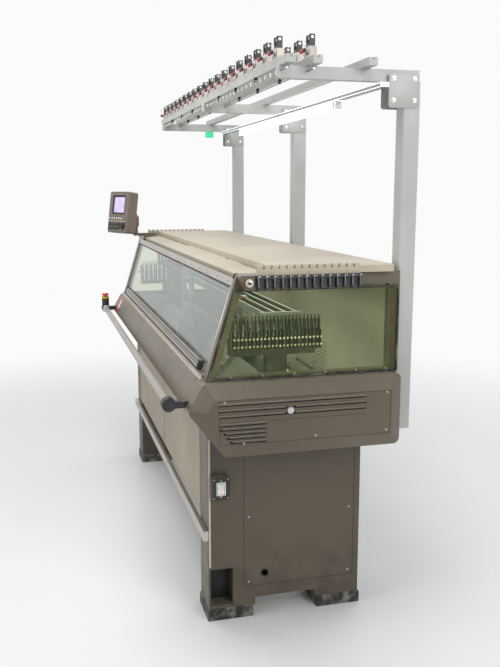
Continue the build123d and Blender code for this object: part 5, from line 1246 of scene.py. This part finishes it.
@dataclass
class YarnStand(Fittings):
    """The overhead stand's fittings: tension units, guide rods, post plates, lamp holders and the signal's cap."""

    units: int = 38
    pitch: float = 0.064
    rails: tuple[float, float] = (-0.028, 0.062)
    posts: tuple[float, float, float] = (-1.18, 0.0, 1.18)
    base: float = 2.026
    spacing: float = 0.031

    def tension_units(self) -> None:
        """Twin blocks with turned disc pairs, springs, knobs, tall cheeks and looped wires."""
        base = self.base
        places = points_of(centred(self.units, self.pitch), np.resize(self.rails, self.units), 0.0)
        left, right = (places + [side * self.spacing / 2, 0.0, 0.0] for side in (-1, 1))
        pairs = np.vstack([left, right])
        front = Facing.FRONT.at(0.0, -0.013, base + 0.021)
        disc = turned([(0.005, 0.0), (0.013, 0.0008), (0.0148, 0.0024), (0.013, 0.0032), (0.004, 0.0016)], 16)
        knob = front.put(turned([(0.0066, 0.0105), (0.007, 0.012), (0.007, 0.0165), (0.0055, 0.018)], 14))
        cap = turned([(0.0048, 0.0), (0.005, 0.004), (0.0042, 0.0066), (0.0002, 0.0072)], 14)
        ring = turned([(0.0024, -0.0024), (0.0048, -0.002), (0.0048, 0.002), (0.0024, 0.0024)], 14)
        turn = np.linspace(0.0, 1.0, 14)
        loop = np.sin(turn * math.pi)
        wire = tube(points_of(0.006 * loop, -0.01 - 0.02 * loop, base + 0.036 + 0.034 * turn), 0.0008, 5, RIGHT)
        solid = ("top_tension_units",)
        for name, shape, spots, finish, replaced in (
            ("blocks", plate(0.0596, 0.026, 0.034, 0.004, 0.002).moved(z=base), places, IVORY, solid),
            ("cheeks", box_shape(-0.002, 0.002, -0.01, 0.01, base + 0.033, base + 0.0735, 0.001), pairs, BLACK, solid),
            ("discs", front.put(disc), pairs, CHROME, ()),
            ("springs", front.put(spring(0.005, 0.0006, 0.009, 3).moved(z=0.002)), pairs, STEEL, ()),
            ("knobs_red", knob, left, RED, ()),
            ("knobs_black", knob, right, BLACK, ()),
            ("lamps", cap.moved(y=0.0005, z=base + 0.0336), places, RED, ()),
            ("rings", Facing.END.at(z=base + 0.064).put(ring), pairs, CERAMIC, ()),
            ("wires", wire, pairs, CHROME, ()),
        ):
            self.add(f"tension_{name}", shape.repeated(spots), finish, replaces=replaced)

    def hardware(self) -> None:
        """Gusset plates and bolts where arms meet posts, clamps under the rails, and bolts at the posts' feet."""
        clamp = box_shape(-0.024, 0.024, -0.0175, 0.0175, 1.9985, 2.0055, 0.0015)
        self.add("stand_clamps", clamp.at_all(self.posts, [*self.rails, 0.25]), STAND)
        bolts = bolt(0.006, 0.004).at_all([-0.038, 0.038], [-0.03, 0.04], 0.0025)
        for name, shape, finish in (
            ("stand_bolts", bolts, ZINC), ("stand_gussets", plate(0.11, 0.11, 0.0025, 0.01, 0.0008), STAND),
        ):
            pair = Facing.END.at(0.03, 0.384, 1.93).put(shape).at_both_ends()
            self.add(name, pair.at_all(self.posts), finish)
        feet = bolt(0.007, 0.004).at_all(self.posts, [0.8, 0.93, 1.2, 1.29])
        self.add_on(Facing.REAR.at(0.0, 0.4415), ("post_bolts", feet, ZINC))

    def guides_and_lamps(self) -> None:
        """Two guide rods on hangers below the rails, eyelets, the lamp's batten and holders, the signal's cap."""
        level, ys = 1.984, [-0.04, 0.05]
        rods = [tube(points_of([-1.255, 0.0, 1.255], y, level), 0.0028) for y in ys]
        self.add("yarn_guide_rods", total(rods), RAIL_STEEL)
        hanger = box_shape(-0.004, 0.004, -0.0055, 0.0055, 1.981, 2.0005, 0.001)
        self.add("guide_hangers", hanger.at_all(np.linspace(-1.18, 1.18, 9), ys), BLACK)
        eyelet = turned([(0.0038, -0.003), (0.0072, -0.0024), (0.0072, 0.0024), (0.0038, 0.003)], 14)
        eyelets = eyelet.at_all(np.linspace(-1.14, 1.14, 37))
        self.add_on(Facing.FRONT.at(0.0, ys[0], level), ("guide_eyelets", eyelets, CERAMIC))
        self.add("lamp_batten", box_shape(-1.18, 1.18, 0.3128, 0.3472, 1.9455, 1.9602, 0.002), STAND)
        cap = box_shape(0.727, 0.7505, 0.3125, 0.3475, 1.9095, 1.9465, 0.003)
        self.add("lamp_holders", cap.at_both_ends(), KEY)
        top = turned([(0.0188, -0.0145), (0.0188, -0.002), (0.0175, 0.0)], 26)
        self.add("signal_cap", top.moved(-1.24, 0.25, 2.0), BLACK)

    def build(self) -> None:
        """Builds every fitting of the stand."""
        self.tension_units()
        self.hardware()
        self.guides_and_lamps()


@dataclass
class DriveFittings(Fittings):
    """Belt teeth, motor fins and motor bolts."""

    pulley_x: float = 1.072
    belt_z: float = 0.85
    belt_y: float = 0.252

    def build(self) -> None:
        """Builds the drive's fittings."""
        tooth = box_shape(-0.0025, 0.0025, self.belt_y - 0.007, self.belt_y + 0.007, 0.0, 0.0016, 0.0004)
        runs = [self.belt_z + 0.0288, self.belt_z - 0.0304]
        self.add("belt_teeth", tooth.at_all(centred(213, 0.01), 0.0, runs), RUBBER)
        fins = frame_band(0.106, 0.106, 0.01, 0.003, 0.003).at_all(0.0, 0.0, np.arange(9) * 0.009)
        self.add_on(Facing.REAR.at(-self.pulley_x, 0.28, self.belt_z), ("motor_fins", fins, BLACK_PAINT))
        heads = bolt(0.006, 0.004).at_all([-0.038, 0.038], [-0.038, 0.038])
        self.add_on(Facing.REAR.at(-self.pulley_x, 0.365, self.belt_z), ("motor_bolts", heads, ZINC))


@dataclass
class Studio:
    """The floor, the lamps and the camera."""

    eye: Point = (3.77, -0.835, 1.6)
    aim: Point = (0.1, 0.15, 0.93)
    lamp_aim: Point = (0.0, 0.0, 0.9)
    lens: float = 58.0
    reach: float = 14.0
    white: Colour = (1.0, 1.0, 1.0)
    glow: float = 0.96

    def floor(self) -> None:
        """A pale floor that keeps the machine's shadow and turns into the white background further out."""
        graph = Graph(bpy.data.materials.new("studio_floor"))
        cloud = graph.noise(0.8, 3.0)
        tone = graph.mix(cloud, (0.8, 0.8, 0.79), (0.86, 0.86, 0.85))
        away = graph.value("ShaderNodeVectorMath", {0: graph.place()}, "Value", operation="LENGTH")
        seen = graph.value("ShaderNodeLightPath", out="Is Camera Ray")
        ground = graph.skin(Base_Color=tone, Roughness=cloud * 0.2 + 0.35)
        glow = graph.value("ShaderNodeEmission", {"Color": self.white, "Strength": self.glow})
        mesh = bpy.data.meshes.new("studio_floor")
        ends = [-self.reach, self.reach]
        mesh.from_pydata(grid_places(ends, ends).tolist(), [], [(0, 2, 3, 1)])
        mesh.materials.append(graph.end(graph.layers(away.band(1.6, 4.6) * seen, ground, glow)))
        floor = bpy.data.objects.new("studio_floor", mesh)
        bpy.context.scene.collection.objects.link(floor)

    def world(self) -> None:
        """A soft pale surrounding, white where the camera, gloss or glass sees it."""
        graph = Graph(bpy.data.worlds.new("studio_air"))
        seen = graph.value("ShaderNodeLightPath", out="Is Camera Ray")
        for ray in ("Is Glossy Ray", "Is Transmission Ray"):
            seen = graph.sum("MAXIMUM", seen, graph.value("ShaderNodeLightPath", out=ray))
        air = graph.value("ShaderNodeBackground", {"Color": (0.93, 0.96, 1.0), "Strength": 0.42})
        white = graph.value("ShaderNodeBackground", {"Color": self.white, "Strength": self.glow})
        bpy.context.scene.world = graph.end(graph.layers(seen, air, white), "ShaderNodeOutputWorld")

    def mount(self, data: bpy.types.Camera | bpy.types.Light, at: Point, aim: Point) -> bpy.types.Object:
        """Puts up a lamp or a camera.

        Args:
            data: The lamp or the camera.
            at: Its place.
            aim: The point that it is turned towards.

        Returns:
            Its object.
        """
        thing = bpy.data.objects.new(data.name, data)
        thing.location = at
        thing.rotation_euler = (Vector(aim) - Vector(at)).to_track_quat("-Z", "Y").to_euler()
        bpy.context.scene.collection.objects.link(thing)
        return thing

    def lamp(self, name: str, at: Point, size: tuple[float, float], power: float) -> None:
        """One soft lamp turned towards the machine's middle.

        Args:
            name: The lamp's name.
            at: Its place.
            size: Its width and height.
            power: Its power in watts.
        """
        data = bpy.data.lights.new(name, "AREA")
        data.shape = "RECTANGLE"
        data.size, data.size_y = size
        data.energy = power
        self.mount(data, at, self.lamp_aim).visible_camera = False

    def camera(self) -> None:
        """The camera at the photograph's standpoint, turned to the machine."""
        data = bpy.data.cameras.new("camera")
        data.sensor_fit = "HORIZONTAL"
        data.sensor_width = 36.0
        data.lens = self.lens
        data.clip_start = 0.05
        bpy.context.scene.camera = self.mount(data, self.eye, self.aim)

    def build(self) -> None:
        """Sets up the whole studio."""
        self.floor()
        self.world()
        self.camera()
        for name, at, size, power in (
            ("overhead", (0.4, -0.9, 4.2), (4.5, 1.2), 90.0),
            ("end_side", (4.4, 1.3, 2.6), (1.8, 1.8), 60.0),
            ("aisle_side", (1.2, -4.0, 2.4), (3.0, 1.6), 58.0),
            ("rear_side", (-1.5, 3.6, 3.0), (3.0, 1.6), 40.0),
            ("below_table", (0.0, 0.12, 1.305), (2.2, 0.24), 2.1),
        ):
            self.lamp(name, at, size, power)
        bpy.context.scene.view_settings.view_transform = "Standard"


def main() -> None:
    """Builds the dressed machine."""
    logging.basicConfig(level=logging.INFO, format="%(name)s: %(message)s")
    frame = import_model()
    shop = Workshop(frame)
    Studio().build()
    for finish, names in PACKED_PIECES:
        shop.dress(finish, *names.split())
    for side in Side:
        EndFittings(shop, side).build()
        TensionBank(shop, side).build()
    for kind in (CoverFittings, FrontFittings, ControlPanel, Needlework, Carriage, YarnCarriers,
                 LegFittings, RearFittings, YarnStand, DriveFittings):
        kind(shop).build()
        LOG.info("finished %s", kind.__name__)


if __name__ == "__main__":
    main()
